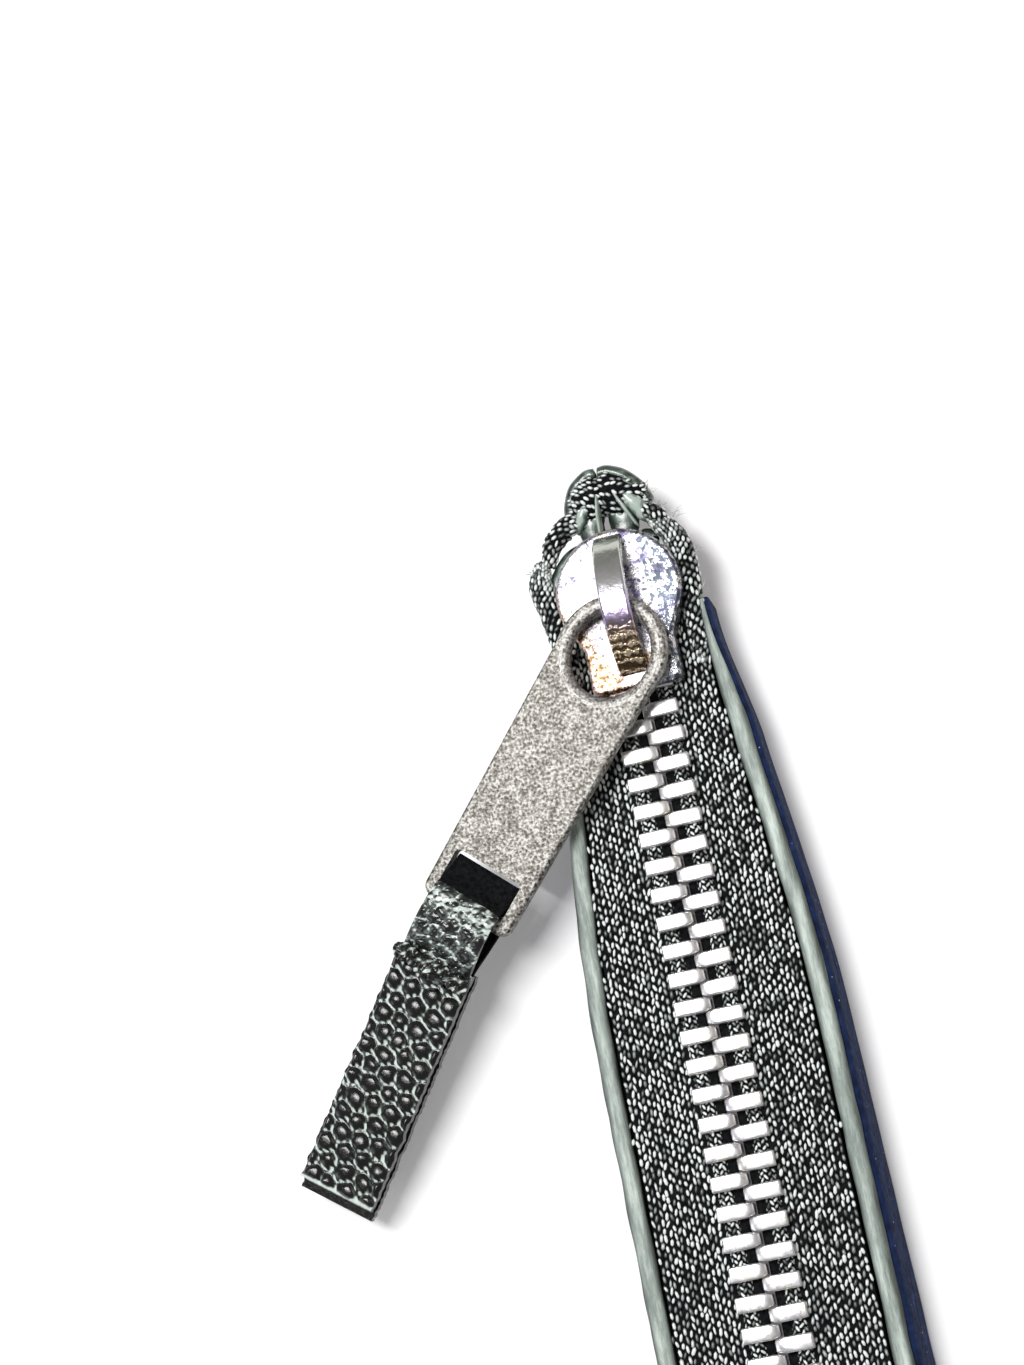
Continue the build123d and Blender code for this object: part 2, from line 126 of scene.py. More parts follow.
def deselect():
    """Operators act on all that is selected, so each step starts with nothing selected."""
    if bpy.context.mode != "OBJECT":
        bpy.ops.object.mode_set(mode="OBJECT")
    bpy.ops.object.select_all(action="DESELECT")


def only(piece):
    deselect()
    piece.select_set(True)
    bpy.context.view_layer.objects.active = piece
    return piece


class EditMode:
    """Opens a piece in edit mode with all of it selected, and closes it again at the end."""

    def __init__(self, piece):
        self.piece = piece

    def __enter__(self):
        only(self.piece)
        bpy.ops.object.mode_set(mode="EDIT")
        bpy.ops.mesh.select_all(action="SELECT")

    def __exit__(self, *problem):
        bpy.ops.object.mode_set(mode="OBJECT")


def points_of(piece):
    points = np.empty(len(piece.data.vertices) * 3)
    piece.data.vertices.foreach_get("co", points)
    return points.reshape(-1, 3)


def put_points(piece, points):
    piece.data.vertices.foreach_set("co", np.asarray(points, float).ravel())
    piece.data.update()


def grid_piece(name, columns, rows, shape):
    """A grid whose vertices are put by shape(across, along), both from 0 to 1, in millimetres."""
    deselect()
    bpy.ops.mesh.primitive_grid_add(x_subdivisions=columns, y_subdivisions=rows, size=1)
    piece = bpy.context.object
    piece.name = piece.data.name = name
    flat = points_of(piece)
    put_points(piece, shape(flat[:, 0] + 0.5, flat[:, 1] + 0.5) * mm)
    return piece


def piece_from(name, points, faces):
    """A piece straight from its points, in millimetres, and its faces."""
    mesh = bpy.data.meshes.new(name)
    mesh.from_pydata((np.asarray(points) * mm).tolist(), [], faces)
    piece = bpy.data.objects.new(name, mesh)
    scene.collection.objects.link(piece)
    return piece


def take_model(piece):
    """A piece's points and faces, kept as a model to copy; the piece itself is removed."""
    model = points_of(piece), [tuple(face.vertices) for face in piece.data.polygons]
    bpy.data.objects.remove(piece)
    return model


def thicken(piece, thickness, offset=-1.0):
    """Gives a sheet its thickness; offset -1 keeps the given surface as the upper side."""
    only(piece)
    wall = piece.modifiers.new("thickness", "SOLIDIFY")
    wall.thickness, wall.offset = thickness * mm, offset
    bpy.ops.object.modifier_apply(modifier=wall.name)
    return piece


def face_outwards(piece):
    with EditMode(piece):
        bpy.ops.mesh.normals_make_consistent(inside=False)
    return piece


def smooth(piece, degrees=50):
    only(piece)
    bpy.ops.object.shade_smooth_by_angle(angle=math.radians(degrees))
    return piece


def paint_value(piece, name, values):
    """Stores one number for each vertex, for the piece's material to read."""
    layer = piece.data.attributes.get(name) or piece.data.attributes.new(name, "FLOAT", "POINT")
    layer.data.foreach_set("value", np.asarray(values, np.float32))


def finish_piece(piece, material, body, slot_name, *nodes):
    piece.data.materials.clear()
    piece.data.materials.append(material)
    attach(piece, body)
    if nodes:
        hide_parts(*nodes)
    return piece


def ease(low, high, value):
    """0 below low, 1 above high, and a smooth step between."""
    t = np.clip((value - low) / (high - low), 0, 1)
    return t * t * (3 - 2 * t)


def ripple(x, y, size, seed=0):
    """A cheap smooth noise from a few crossed waves, between about -1 and 1."""
    local = np.random.default_rng(seed)
    total = 0
    for _ in range(5):
        angle, phase = local.uniform(0, 2 * math.pi, 2)
        reach = size * local.uniform(0.7, 1.6)
        total = total + np.sin((x * math.cos(angle) + y * math.sin(angle)) * 2 * math.pi / reach + phase)
    return total / 3


# %% [markdown]
# ## Helpers for materials
# A material is a small chain: coordinates, one or two noises, a ramp for the colour, and a bump for the relief.
# Object coordinates are in metres, so a noise scale of 1000 gives features about a millimetre wide.

# %% Helpers for materials
class Finish:
    """One material with short ways to add the nodes that all the finishes here use."""

    def __init__(self, name, roughness=0.5, metallic=0.0):
        self.material = bpy.data.materials.new(name)
        self.material.use_nodes = True
        self.nodes, self.links = self.material.node_tree.nodes, self.material.node_tree.links
        self.shader = self.nodes["Principled BSDF"]
        self.shader.inputs["Roughness"].default_value = roughness
        self.shader.inputs["Metallic"].default_value = metallic
        self.where = self.nodes.new("ShaderNodeTexCoord").outputs["Object"]

    def set(self, **values):
        for key, value in values.items():
            self.shader.inputs[key.replace("_", " ")].default_value = value
        return self

    def stretched(self, scale, turned=(0, 0, 0)):
        node = self.nodes.new("ShaderNodeMapping")
        node.inputs["Scale"].default_value, node.inputs["Rotation"].default_value = scale, turned
        self.links.new(self.where, node.inputs["Vector"])
        return node.outputs["Vector"]

    def noise(self, per_metre, detail=4.0, rough=0.6, where=None):
        node = self.nodes.new("ShaderNodeTexNoise")
        node.inputs["Scale"].default_value, node.inputs["Detail"].default_value = per_metre, detail
        node.inputs["Roughness"].default_value = rough
        self.links.new(where or self.where, node.inputs["Vector"])
        return node.outputs["Fac"]

    def cells(self, per_metre, feature="F1", where=None):
        node = self.nodes.new("ShaderNodeTexVoronoi")
        node.feature = feature
        node.inputs["Scale"].default_value = per_metre
        self.links.new(where or self.where, node.inputs["Vector"])
        return node.outputs["Distance"]

    def share(self, axis, low, high):
        """How far along an axis a point is: 0 at low and 1 at high, both in metres."""
        apart = self.nodes.new("ShaderNodeSeparateXYZ")
        self.links.new(self.where, apart.inputs["Vector"])
        return self.times(self.sum(apart.outputs[axis], low, "SUBTRACT"), 1 / (high - low))

    def value(self, name):
        node = self.nodes.new("ShaderNodeAttribute")
        node.attribute_name = name
        return node.outputs["Fac"]

    def ramp(self, source, *stops):
        """Each stop is (position, (red, green, blue)) or (position, grey)."""
        node = self.nodes.new("ShaderNodeValToRGB")
        while len(node.color_ramp.elements) < len(stops):
            node.color_ramp.elements.new(0.5)
        for element, (position, colour) in zip(node.color_ramp.elements, stops):
            element.position = position
            element.color = (*colour, 1) if isinstance(colour, tuple) else (colour, colour, colour, 1)
        self.links.new(source, node.inputs["Fac"])
        return node.outputs["Color"]

    def feed(self, source, socket):
        """Links a node's output to a socket, or sets the socket to a number or a colour."""
        if isinstance(source, tuple):
            socket.default_value = (*source, 1)
        elif isinstance(source, (int, float)):
            socket.default_value = source
        else:
            self.links.new(source, socket)

    def mix(self, share, first, second):
        node = self.nodes.new("ShaderNodeMix")
        node.data_type = "RGBA"
        for source, socket in ((share, 0), (first, 6), (second, 7)):
            self.feed(source, node.inputs[socket])
        return node.outputs[2]

    def sum(self, first, second, operation="ADD"):
        node = self.nodes.new("ShaderNodeMath")
        node.operation = operation
        for source, socket in ((first, 0), (second, 1)):
            self.feed(source, node.inputs[socket])
        return node.outputs[0]

    def times(self, first, second):
        return self.sum(first, second, "MULTIPLY")

    def weighed(self, *pairs):
        """A sum of values, each times its own weight."""
        parts = [value if weight == 1 else self.times(value, weight) for value, weight in pairs]
        total = parts[0]
        for part in parts[1:]:
            total = self.sum(total, part)
        return total

    def colour(self, source):
        self.links.new(source, self.shader.inputs["Base Color"])
        return self

    def roughness(self, source, low, high):
        self.links.new(self.ramp(source, (0.25, low), (0.75, high)), self.shader.inputs["Roughness"])
        return self

    def bump(self, source, depth, strength=1.0):
        node = self.nodes.new("ShaderNodeBump")
        node.inputs["Distance"].default_value, node.inputs["Strength"].default_value = depth * mm, strength
        self.links.new(source, node.inputs["Height"])
        self.links.new(node.outputs["Normal"], self.shader.inputs["Normal"])
        return self


def dress(finish, *nodes):
    """Gives a CAD node its finish through its object's material slots."""
    for name in nodes:
        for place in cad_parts[name].material_slots:
            place.material = finish.material
    print(finish.material.name, "on", ", ".join(nodes))


# %% [markdown]
# ## Polished nickel
# The teeth, stops and slider are nickel plated and polished, with a faint warm and violet tinge and hair scratches.
# A metallic shader with low roughness does it, and stretched noise lays the scratches along one direction.
# Its colour has dark blue flecks on the slider's right and amber patches low on its left.

# %% Polished nickel
nickel = Finish("polished nickel", metallic=1.0)
plate_low, plate_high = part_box("slider_body")
plate_across = nickel.share("X", plate_low.x, plate_high.x)
plate_up = nickel.share("Y", plate_low.y, plate_high.y)
flecks = nickel.noise(1900, 3, 0.75)
cloud = nickel.noise(560, 3)
bright = nickel.ramp(
    cloud,
    (0.36, (0.17, 0.15, 0.25)), (0.42, (0.62, 0.60, 0.66)), (0.60, (0.70, 0.69, 0.67)), (0.68, (0.34, 0.22, 0.12)),
)
right_fleck_share = nickel.ramp(nickel.weighed((plate_across, 1), (cloud, 0.35)), (0.78, 0.0), (0.98, 1.0))
blue_flecks = nickel.ramp(nickel.weighed((flecks, 1), (right_fleck_share, 0.13)), (0.59, 0.0), (0.64, 1.0))
low_left = nickel.weighed((plate_across, 1), (plate_up, 0.75), (flecks, 0.5))
low_left_share = nickel.ramp(low_left, (0.62, 1.0), (0.88, 0.0))
amber = nickel.ramp(flecks, (0.40, (0.07, 0.045, 0.03)), (0.50, (0.40, 0.23, 0.11)), (0.60, (0.66, 0.58, 0.64)))
flecked_metal = nickel.mix(blue_flecks, bright, (0.085, 0.10, 0.13))
nickel.colour(nickel.mix(low_left_share, flecked_metal, amber))
nickel.roughness(flecks, 0.12, 0.42)
scratches = nickel.noise(900, 3, 0.7, nickel.stretched((14, 1.5, 6), (0, 0, 0.4)))
nickel.bump(nickel.weighed((scratches, 1), (flecks, 1), (nickel.noise(240, 2, 0.4), 9.0)), 0.045, 0.8)
dress(nickel, "slider_body")

# The bail is the same metal with tool marks: close ridges across its lower end, where it was bent and pinched.
bail_metal = Finish("bail nickel", 0.2, 1.0)
bail_low, bail_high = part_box("slider_bail")
up_the_bail = bail_metal.share("Y", bail_low.y, bail_high.y)
wobble = bail_metal.noise(1500, 3)
ridge_phase = bail_metal.share("Y", 0, 1 / 9000)  # one ridge every 0.7 mm
marks = bail_metal.sum(bail_metal.weighed((ridge_phase, 1), (wobble, 13.0)), 0.0, "SINE")
low_end = bail_metal.ramp(bail_metal.weighed((up_the_bail, 1), (wobble, 0.16)), (0.26, 1.0), (0.40, 0.0))
# Painted reflections along the bail: warm low down, violet in the middle and a painted highlight near the top of its
# arch.
painted_reflections = bail_metal.ramp(
    bail_metal.weighed((up_the_bail, 1), (bail_metal.noise(700, 3), 0.3)),
    (0.20, (0.50, 0.36, 0.24)), (0.42, (0.30, 0.24, 0.26)), (0.56, (0.46, 0.38, 0.62)), (0.74, (0.85, 0.84, 0.84)),
    (1.0, (0.52, 0.54, 0.48)),
)
# Painted light and shade on the ridges: the colour turns dark and pale gold in step with them.
ridge_light_and_shade = bail_metal.ramp(marks, (0.0, (0.13, 0.09, 0.05)), (0.8, (0.86, 0.72, 0.52)))
bail_metal.colour(bail_metal.mix(low_end, painted_reflections, ridge_light_and_shade))
bail_metal.bump(bail_metal.sum(bail_metal.times(marks, low_end), bail_metal.noise(800, 3)), 0.07, 0.9)
dress(bail_metal, "slider_bail")

tooth_metal = Finish("tooth nickel", metallic=1.0)
tooth_metal.colour(tooth_metal.ramp(
    tooth_metal.noise(700, 3), (0.35, (0.84, 0.82, 0.86)), (0.55, (0.93, 0.92, 0.91)), (0.7, (0.93, 0.89, 0.80))
))
tooth_metal.roughness(tooth_metal.noise(1800, 3), 0.22, 0.42)
tooth_metal.bump(tooth_metal.noise(1500, 4, 0.7), 0.03, 0.6)
dress(tooth_metal, "top_stop_left", "top_stop_right", "bottom_stop")

# %% [markdown]
# ## Blasted nickel
# The pull tab is blasted and darkened: a grain of bright and brown specks a few tenths of a millimetre wide.
# Two scales of noise make the specks, and the same noise drives the bump so that bright specks stand proud.

# %% Blasted nickel
blasted = Finish("blasted nickel", metallic=0.85)
speck = blasted.noise(3700, 2, 0.5)
patch = blasted.noise(600, 4, 0.6)
grain = blasted.weighed((speck, 0.78), (patch, 0.22))
blasted.colour(blasted.ramp(
    grain,
    (0.37, (0.065, 0.058, 0.048)), (0.46, (0.19, 0.178, 0.157)), (0.52, (0.30, 0.29, 0.27)),
    (0.61, (0.63, 0.615, 0.59)),
))
blasted.roughness(speck, 0.42, 0.70)
blasted.bump(grain, 0.12, 0.9)
dress(blasted, "pull_tab")

# %% [markdown]
# ## Leathers, paint and thread
# Black leather is glazed, navy leather is matt with a fine pebble, and cut edges are closed with grey-green paint.
# The pebble of the navy leather is too fine to model everywhere, so cells in its bump make it.

# %% Leathers, paint and thread
navy = Finish("navy leather", 0.45)
pebble = navy.cells(1500, "SMOOTH_F1")
ground = navy.ramp(
    navy.noise(700, 4), (0.35, (0.008, 0.014, 0.042)), (0.6, (0.014, 0.028, 0.088)), (0.75, (0.03, 0.05, 0.13))
)
# The sparse pale specks on the navy leather are painted glints on its grain; the rest is its own navy tone.
specks = navy.ramp(navy.cells(1150), (0.045, 1.0), (0.10, 0.0))
glint_patches = navy.ramp(navy.noise(420, 2), (0.50, 0.0), (0.60, 1.0))
navy.colour(navy.mix(navy.times(specks, glint_patches), ground, (0.75, 0.8, 0.92)))
navy.roughness(navy.noise(2400, 3), 0.55, 0.8)
navy.bump(pebble, 0.12, 0.8)
navy.set(Specular_IOR_Level=0.06)

lining = Finish("lining leather", 0.6)
lining.colour(lining.ramp(lining.noise(800, 5), (0.35, (0.018, 0.02, 0.02)), (0.7, (0.06, 0.065, 0.062))))
lining.bump(lining.noise(2500, 4), 0.05, 0.7)

# The edge paint's crown value paints light along the middle of the bead and shade on its sides and foot; its streaks
# are real.
paint = Finish("edge paint", 0.38)
streaks = paint.noise(300, 6, 0.7, paint.stretched((3.6, 0.5, 3.6)))
paint.colour(paint.ramp(
    paint.weighed((streaks, 0.85), (paint.value("crown"), 0.36)),
    (0.36, (0.022, 0.027, 0.024)), (0.54, (0.10, 0.12, 0.105)), (0.72, (0.26, 0.31, 0.28)), (0.90, (0.60, 0.68, 0.62)),
))
paint.roughness(paint.noise(900, 4), 0.25, 0.5)
paint.bump(paint.noise(600, 6, 0.75, paint.stretched((2.6, 0.7, 2.6))), 0.16, 0.9)

raw = Finish("raw leather edge", 0.75)
fibres = raw.noise(2200, 5, 0.7, raw.stretched((1, 1, 2.5)))
raw.colour(raw.ramp(fibres, (0.3, (0.05, 0.05, 0.048)), (0.5, (0.26, 0.27, 0.25)), (0.7, (0.55, 0.57, 0.54))))
raw.bump(fibres, 0.1, 0.9)

sewing = Finish("sewing thread", 0.42)
twist = sewing.noise(3800, 3, 0.6, sewing.stretched((1, 1, 1), (0.4, 0.6, 0.7)))
sewing.colour(sewing.ramp(twist, (0.35, (0.012, 0.012, 0.014)), (0.65, (0.09, 0.09, 0.1))))
sewing.bump(twist, 0.06, 0.9)

# %% [markdown]
# ## Finishes that follow a painted value
# Woven thread gets a painted highlight on the crown of each float and is black in the gaps; pebbled leather is the
# other way round.
# Each of these pieces stores a number per vertex, and the ramp turns that number into colour.

# %% Finishes that follow a painted value
weave_thread = Finish("woven polyester thread", 0.34)
# The crown value is a painted highlight: near white on top of each float, black at its foot.
crown = weave_thread.times(weave_thread.value("crown"), weave_thread.value("lot"))
weave_thread.colour(weave_thread.ramp(
    crown,
    (0.10, (0.004, 0.005, 0.005)), (0.30, (0.035, 0.04, 0.04)), (0.50, (0.24, 0.27, 0.26)), (0.78, (0.78, 0.82, 0.80)),
))
weave_thread.set(Specular_IOR_Level=0.7)
weave_thread.bump(weave_thread.noise(5200, 2, 0.5), 0.03, 0.5)

weave_ground = Finish("woven ground", 0.9)
weave_ground.colour(weave_ground.ramp(
    weave_ground.noise(2600, 4), (0.35, (0.002, 0.002, 0.0025)), (0.7, (0.012, 0.013, 0.014))
))
weave_ground.bump(weave_ground.noise(2400, 4), 0.12, 1.0)
weave_ground.set(Specular_IOR_Level=0.08)

# The painted value read here is a painted highlight in the net between pebbles, plus the worn pale tip of the strap.
pebbled = Finish("glazed pebbled leather", 0.25)
pebbled.colour(pebbled.ramp(
    pebbled.weighed((pebbled.value("sheen_and_wear"), 0.8), (pebbled.noise(1500, 5, 0.7), 0.55)),
    (0.36, (0.003, 0.0035, 0.003)), (0.58, (0.012, 0.014, 0.013)), (0.76, (0.12, 0.14, 0.128)),
    (0.96, (0.62, 0.70, 0.65)),
))
pebbled.roughness(pebbled.noise(1900, 4), 0.10, 0.24)
pebbled.bump(pebbled.noise(3300, 4, 0.7), 0.035, 0.8)
pebbled.set(Specular_IOR_Level=0.42, Coat_Weight=0.22, Coat_Roughness=0.08)

# The film's painted value paints a highlight along each ridge and shade at its foot, with a little random tone.
film = Finish("glossy edge film", 0.22)
film.colour(film.ramp(
    film.weighed((film.value("film_light"), 1), (film.noise(900, 5), 0.45)),
    (0.35, (0.012, 0.02, 0.015)), (0.65, (0.06, 0.09, 0.07)), (0.95, (0.26, 0.33, 0.28)), (1.0, (0.42, 0.50, 0.45)),
))
film.bump(film.noise(1400, 5, 0.7), 0.08, 0.8)
film.set(Coat_Weight=0.5, Coat_Roughness=0.15)

# %% [markdown]
# ## Measure the frame
# The facings stand at each side of the chain and close in towards the slider along a smooth cosine.
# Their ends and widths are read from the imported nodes, so the soft pieces land exactly on the CAD.

# %% Measure the frame
def box_mm(node):
    low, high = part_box(node)
    return low / mm, high / mm


lining_low, lining_high = box_mm("lining_right")
lining_wall = 0.9
facing_wall = 2.1
narrow_half, wide_half = lining_low.x, lining_high.x - lining_wall
facing_foot = lining_low.y
facing_end = {RIGHT: lining_high.y, LEFT: box_mm("lining_left")[1].y}
narrowing = 40.0
tape_top = box_mm("tape_right")[1].z
tape_thick = 0.55
tape_middle = tape_top - tape_thick / 2
crest = box_mm("edge_right")[1].z
slider_low, slider_high = box_mm("slider_body")
crown_radius = slider_high.x
crown_y = slider_high.y - crown_radius
tape_foot = box_mm("tape_right")[0].y
cord_x, cord_radius = 1.95, 0.75
spread_start, spread_radius, spread_angle = slider_low.y + 5.3, 15.0, math.radians(17)


def facing_x(y):
    """Distance from the centreline to a facing's inner face."""
    share = np.clip((y - (facing_end[RIGHT] - narrowing)) / narrowing, 0, 1)
    return wide_half - (wide_half - narrow_half) * (1 - np.cos(np.pi * share)) / 2


def cord_run(y):
    """Distance from the centreline to the middle of a bead cord, which turns out inside the slider."""
    bent = np.clip(y - spread_start, 0, spread_radius * math.sin(spread_angle))
    straight = np.clip(y - spread_start - spread_radius * math.sin(spread_angle), 0, None)
    return cord_x + spread_radius - np.sqrt(spread_radius**2 - bent**2) + straight * math.tan(spread_angle)


print("facing from", round(facing_foot, 2), "to", {SIDE_NAME[s]: round(e, 2) for s, e in facing_end.items()})
print("opening half", round(float(wide_half), 2), "narrowing to", round(float(narrow_half), 2))

# %% [markdown]
# ## Rolls
# Cords, painted edges, leather layers, pleats and folded tape are all closed rolls: a section carried along a path.
# One helper turns a grid into such a tube, welds its seam and closes its two ends.

# %% Rolls
weld_distance = 0.01 * mm


def roll(name, around, along, shape):
    """A closed tube from shape(turn, way): turn goes round the section and way along it, both from 0 to 1."""
    piece = grid_piece(name, around, along, shape)
    with EditMode(piece):
        bpy.ops.mesh.remove_doubles(threshold=weld_distance)
        bpy.ops.mesh.select_all(action="DESELECT")
        bpy.ops.mesh.select_mode(type="EDGE")
        bpy.ops.mesh.select_non_manifold()
        bpy.ops.mesh.edge_face_add()
        bpy.ops.mesh.select_all(action="SELECT")
        bpy.ops.mesh.normals_make_consistent(inside=False)
    return piece


def rounded(turn, half_width, half_height, power=3.5):
    """A rounded box section: power 2 is an ellipse, and a higher power has squarer corners."""
    angle = turn * 2 * np.pi
    c, s = np.cos(angle), np.sin(angle)
    return (
        half_width * np.sign(c) * np.abs(c) ** (2 / power),
        half_height * np.sign(s) * np.abs(s) ** (2 / power),
    )


def stack(x, y, z):
    return np.stack([x, y, z], axis=-1)


# %% [markdown]
# ## One thread float, copied many times
# Zipper tape is a dense weave of shiny polyester, and what the eye sees is rows of short floats like grains of rice.
# One float is a small faceted ball, cut below its middle so that it sits in the ground, and copied by the thousand.
# A few dozen faces are enough for each, because only a spark of light on its crown is seen.

# %% One thread float
def ball(segments, rings):
    deselect()
    bpy.ops.mesh.primitive_uv_sphere_add(segments=segments, ring_count=rings, radius=1)
    return bpy.context.object


float_ball = ball(6, 4)
with EditMode(float_ball):
    bpy.ops.mesh.bisect(plane_co=(0, 0, -0.3), plane_no=(0, 0, 1), use_fill=True, clear_inner=True)
float_model = take_model(float_ball)
print("a float has", len(float_model[0]), "points and", len(float_model[1]), "faces")

# A stitch is a finer ball, lying down and with blunter ends.
stitch_ball = ball(12, 8)
with EditMode(stitch_ball):
    bpy.ops.transform.rotate(value=math.pi / 2, orient_axis="X", center_override=(0, 0, 0))
stitch_model = take_model(stitch_ball)
stitch_along = stitch_model[0][:, 1]
stitch_along[:] = np.sign(stitch_along) * np.abs(stitch_along) ** 0.7


def lay_floats(name, centres, lengthwise, outward, sizes, lots, model=float_model):
    """Copies the model to each centre (mm), lying lengthwise, with half sizes (across, along, high)."""
    model_points, model_faces = model
    lengthwise = lengthwise / np.linalg.norm(lengthwise, axis=1, keepdims=True)
    sideways = np.cross(lengthwise, outward)
    sideways /= np.linalg.norm(sideways, axis=1, keepdims=True)
    upwards = np.cross(sideways, lengthwise)
    frames = np.stack([sideways * sizes[:, :1], lengthwise * sizes[:, 1:2], upwards * sizes[:, 2:]], axis=1)
    points = np.einsum("pk,nkj->npj", model_points, frames) + centres[:, None, :]
    count = len(model_points)
    faces = [tuple(i + n * count for i in face) for n in range(len(centres)) for face in model_faces]
    piece = piece_from(name, points.reshape(-1, 3), faces)
    # Each point's crown value is its painted highlight: strongest on top of the float, fading towards its ends and
    # foot.
    high = np.clip(model_points[:, 2], 0, 1) ** 0.8 * (1 - 0.6 * np.abs(model_points[:, 1]) ** 3)
    paint_value(piece, "crown", np.tile(high, len(centres)))
    paint_value(piece, "lot", np.repeat(lots, count))
    smooth(piece, 80)
    print(name, "has", len(centres), "floats,", sum(len(f) - 2 for f in model_faces) * len(centres), "triangles")
    return piece


def half_sizes(count, *pairs):
    """Half sizes for each float; the pairs across, along and high are each a mean and a spread."""
    columns = [rng.normal(mean, spread, count) if spread else np.full(count, mean) for mean, spread in pairs]
    return np.stack(columns, axis=1)


def rounded_stitches(name, node, body):
    """A rounded stitch along each of a CAD node's straight ones, with the same middle, direction and length."""
    cad_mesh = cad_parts[node].data
    cad_points = points_of(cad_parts[node]) / mm
    group = np.arange(len(cad_points))
    ends = np.array([tuple(edge.vertices) for edge in cad_mesh.edges])
    # Points joined by edges end up with the same number, so each stitch gets its own.
    while True:
        lowest = group.copy()
        np.minimum.at(lowest, ends[:, 0], group[ends[:, 1]])
        np.minimum.at(lowest, ends[:, 1], group[ends[:, 0]])
        if (lowest == group).all():
            break
        group = lowest
    centres, directions, outwards, sizes = [], [], [], []
    for mark in np.unique(group):
        own = cad_points[group == mark]
        middle = (own.max(axis=0) + own.min(axis=0)) / 2
        axes = np.linalg.svd(own - own.mean(axis=0), full_matrices=False)[2]
        spans = [np.ptp(own @ axis) / 2 for axis in axes]
        centres.append(middle)
        directions.append(axes[0])
        outwards.append(axes[2])
        sizes.append((spans[1] * 1.1, spans[0], spans[2] * 1.1))
    laid = map(np.array, (centres, directions, outwards, sizes))
    piece = lay_floats(name, *laid, np.ones(len(centres)), stitch_model)
    return finish_piece(piece, sewing.material, body, "thread", node)


for side in (LEFT, RIGHT):
    rounded_stitches(f"seam_stitches_{SIDE_NAME[side]}", f"seam_{SIDE_NAME[side]}", STRINGER[side])
rounded_stitches("end_tab_stitches", "end_tab_thread", "base")

# %% [markdown]
# ## Tape
# Each tape is one sheet: flat beside the teeth, with its outer margin turned down against the lining.
# The sheet is a grid whose two edges follow the cord and the facing; the margin is extruded from its outer edge.
# The floats lie on it in columns that lean by turns to one side and a little to the other.
# Below the first tooth each sheet narrows to its end tab and keeps a growing gap, so that the two never cross.

# %% Tape
foot_gap, foot_half = 0.25, 5.8
hem_in = 0.3


def tape_inner(y):
    return foot_gap + 0.16 * np.clip(-y, 0, None) + (cord_run(y) - foot_gap) * ease(-3.4, -2.3, y)


def tape_outer(side, y):
    beside = np.where(y > facing_end[side], narrow_half - 0.2 * ease(facing_end[side], crown_y, y), facing_x(y))
    return foot_half + (beside - foot_half) * ease(-2.9, -1.9, y)


def tape_height(x, y):
    return tape_top + 0.035 * ripple(x, y, 6.0, 3)


def make_tape(side):
    y_low, y_high = tape_foot + 0.1, crown_y

    def shape(across, along):
        y = y_low + (y_high - y_low) * along
        x = tape_inner(y) + (tape_outer(side, y) - hem_in - tape_inner(y)) * across
        return stack(side * x, y, tape_height(x, y))

    piece = grid_piece(f"tape_sheet_{SIDE_NAME[side]}", 12, 240, shape)
    with EditMode(piece):
        cloth = bmesh.from_edit_mesh(piece.data)
        for part in (*cloth.verts, *cloth.edges, *cloth.faces):
            part.select = False
        for edge in cloth.edges:
            middle = (edge.verts[0].co + edge.verts[1].co) / 2 / mm
            off_margin = abs(abs(middle.x) - (tape_outer(side, middle.y) - hem_in))
            beside_facing = facing_foot < middle.y < facing_end[side] - 0.3
            edge.select = edge.is_boundary and off_margin < 0.06 and beside_facing
        bmesh.update_edit_mesh(piece.data)
        for out, down in ((0.02, -0.35), (0.0, -1.5), (0.0, -1.6)):
            bpy.ops.mesh.extrude_region_move(TRANSFORM_OT_translate={"value": (side * out * mm, 0, down * mm)})
    area = sum(f.area for f in piece.data.polygons)
    thicken(piece, tape_thick - 0.06, -1.0 if side == RIGHT else 1.0)
    face_outwards(piece)
    smooth(piece, 40)
    finish_piece(piece, weave_ground.material, STRINGER[side], "black_tape", f"tape_{SIDE_NAME[side]}")
    print(piece.name, "area in square mm", round(area / mm**2))
    return piece


def weave_tape(side):
    centres, directions, lots = [], [], []
    column_pitch, float_pitch = 0.43, 0.78
    for column in range(15):
        x0 = 3.12 + column * column_pitch
        lean = math.radians(13 if column % 2 == 0 else -5)
        start = -3.0 + float_pitch * ((column * 0.41) % 1.0)
        y = start + np.arange(0, (crown_y + 0.5 - start) / float_pitch) * float_pitch
        x = x0 + rng.normal(0, 0.045, len(y))
        y = y + rng.normal(0, 0.08, len(y))
        kept = (x < tape_outer(side, y) - 0.12) & (x > tape_inner(y) + 0.2)
        x, y = x[kept], y[kept]
        lean = lean + rng.normal(0, 0.13, len(y))
        centres.append(stack(side * x, y, tape_height(x, y) + rng.normal(0, 0.02, len(y))))
        directions.append(stack(np.sin(lean), np.cos(lean), rng.normal(0.05, 0.06, len(y))))
        lots.append(rng.uniform(0.4, 1.35, len(y)))
    centres, directions, lots = map(np.concatenate, (centres, directions, lots))
    sizes = half_sizes(len(lots), (0.178, 0.02), (0.43, 0.05), (0.17, 0))
    upward = np.tile([0.0, 0.0, 1.0], (len(lots), 1))
    piece = lay_floats(f"tape_weave_{SIDE_NAME[side]}", centres, directions, upward, sizes, lots)
    return finish_piece(piece, weave_thread.material, STRINGER[side], "black_tape")


for side in (LEFT, RIGHT):
    make_tape(side)
    weave_tape(side)

# %% [markdown]
# ## Bead cords
# A cord is woven into the inner edge of each tape, and the teeth are clamped on it.
# Between the teeth its threads show as small slanted strokes, so a plain dark roll carries rows of floats.
# A narrow dark strip of tape runs on past the cord to just beside the chain's middle, clear of the other side's heads;
# it is painted shade, filling the gap between the teeth where the floor would show.

# %% Bead cords
lap_edge, lap_foot = 0.42, 0.6


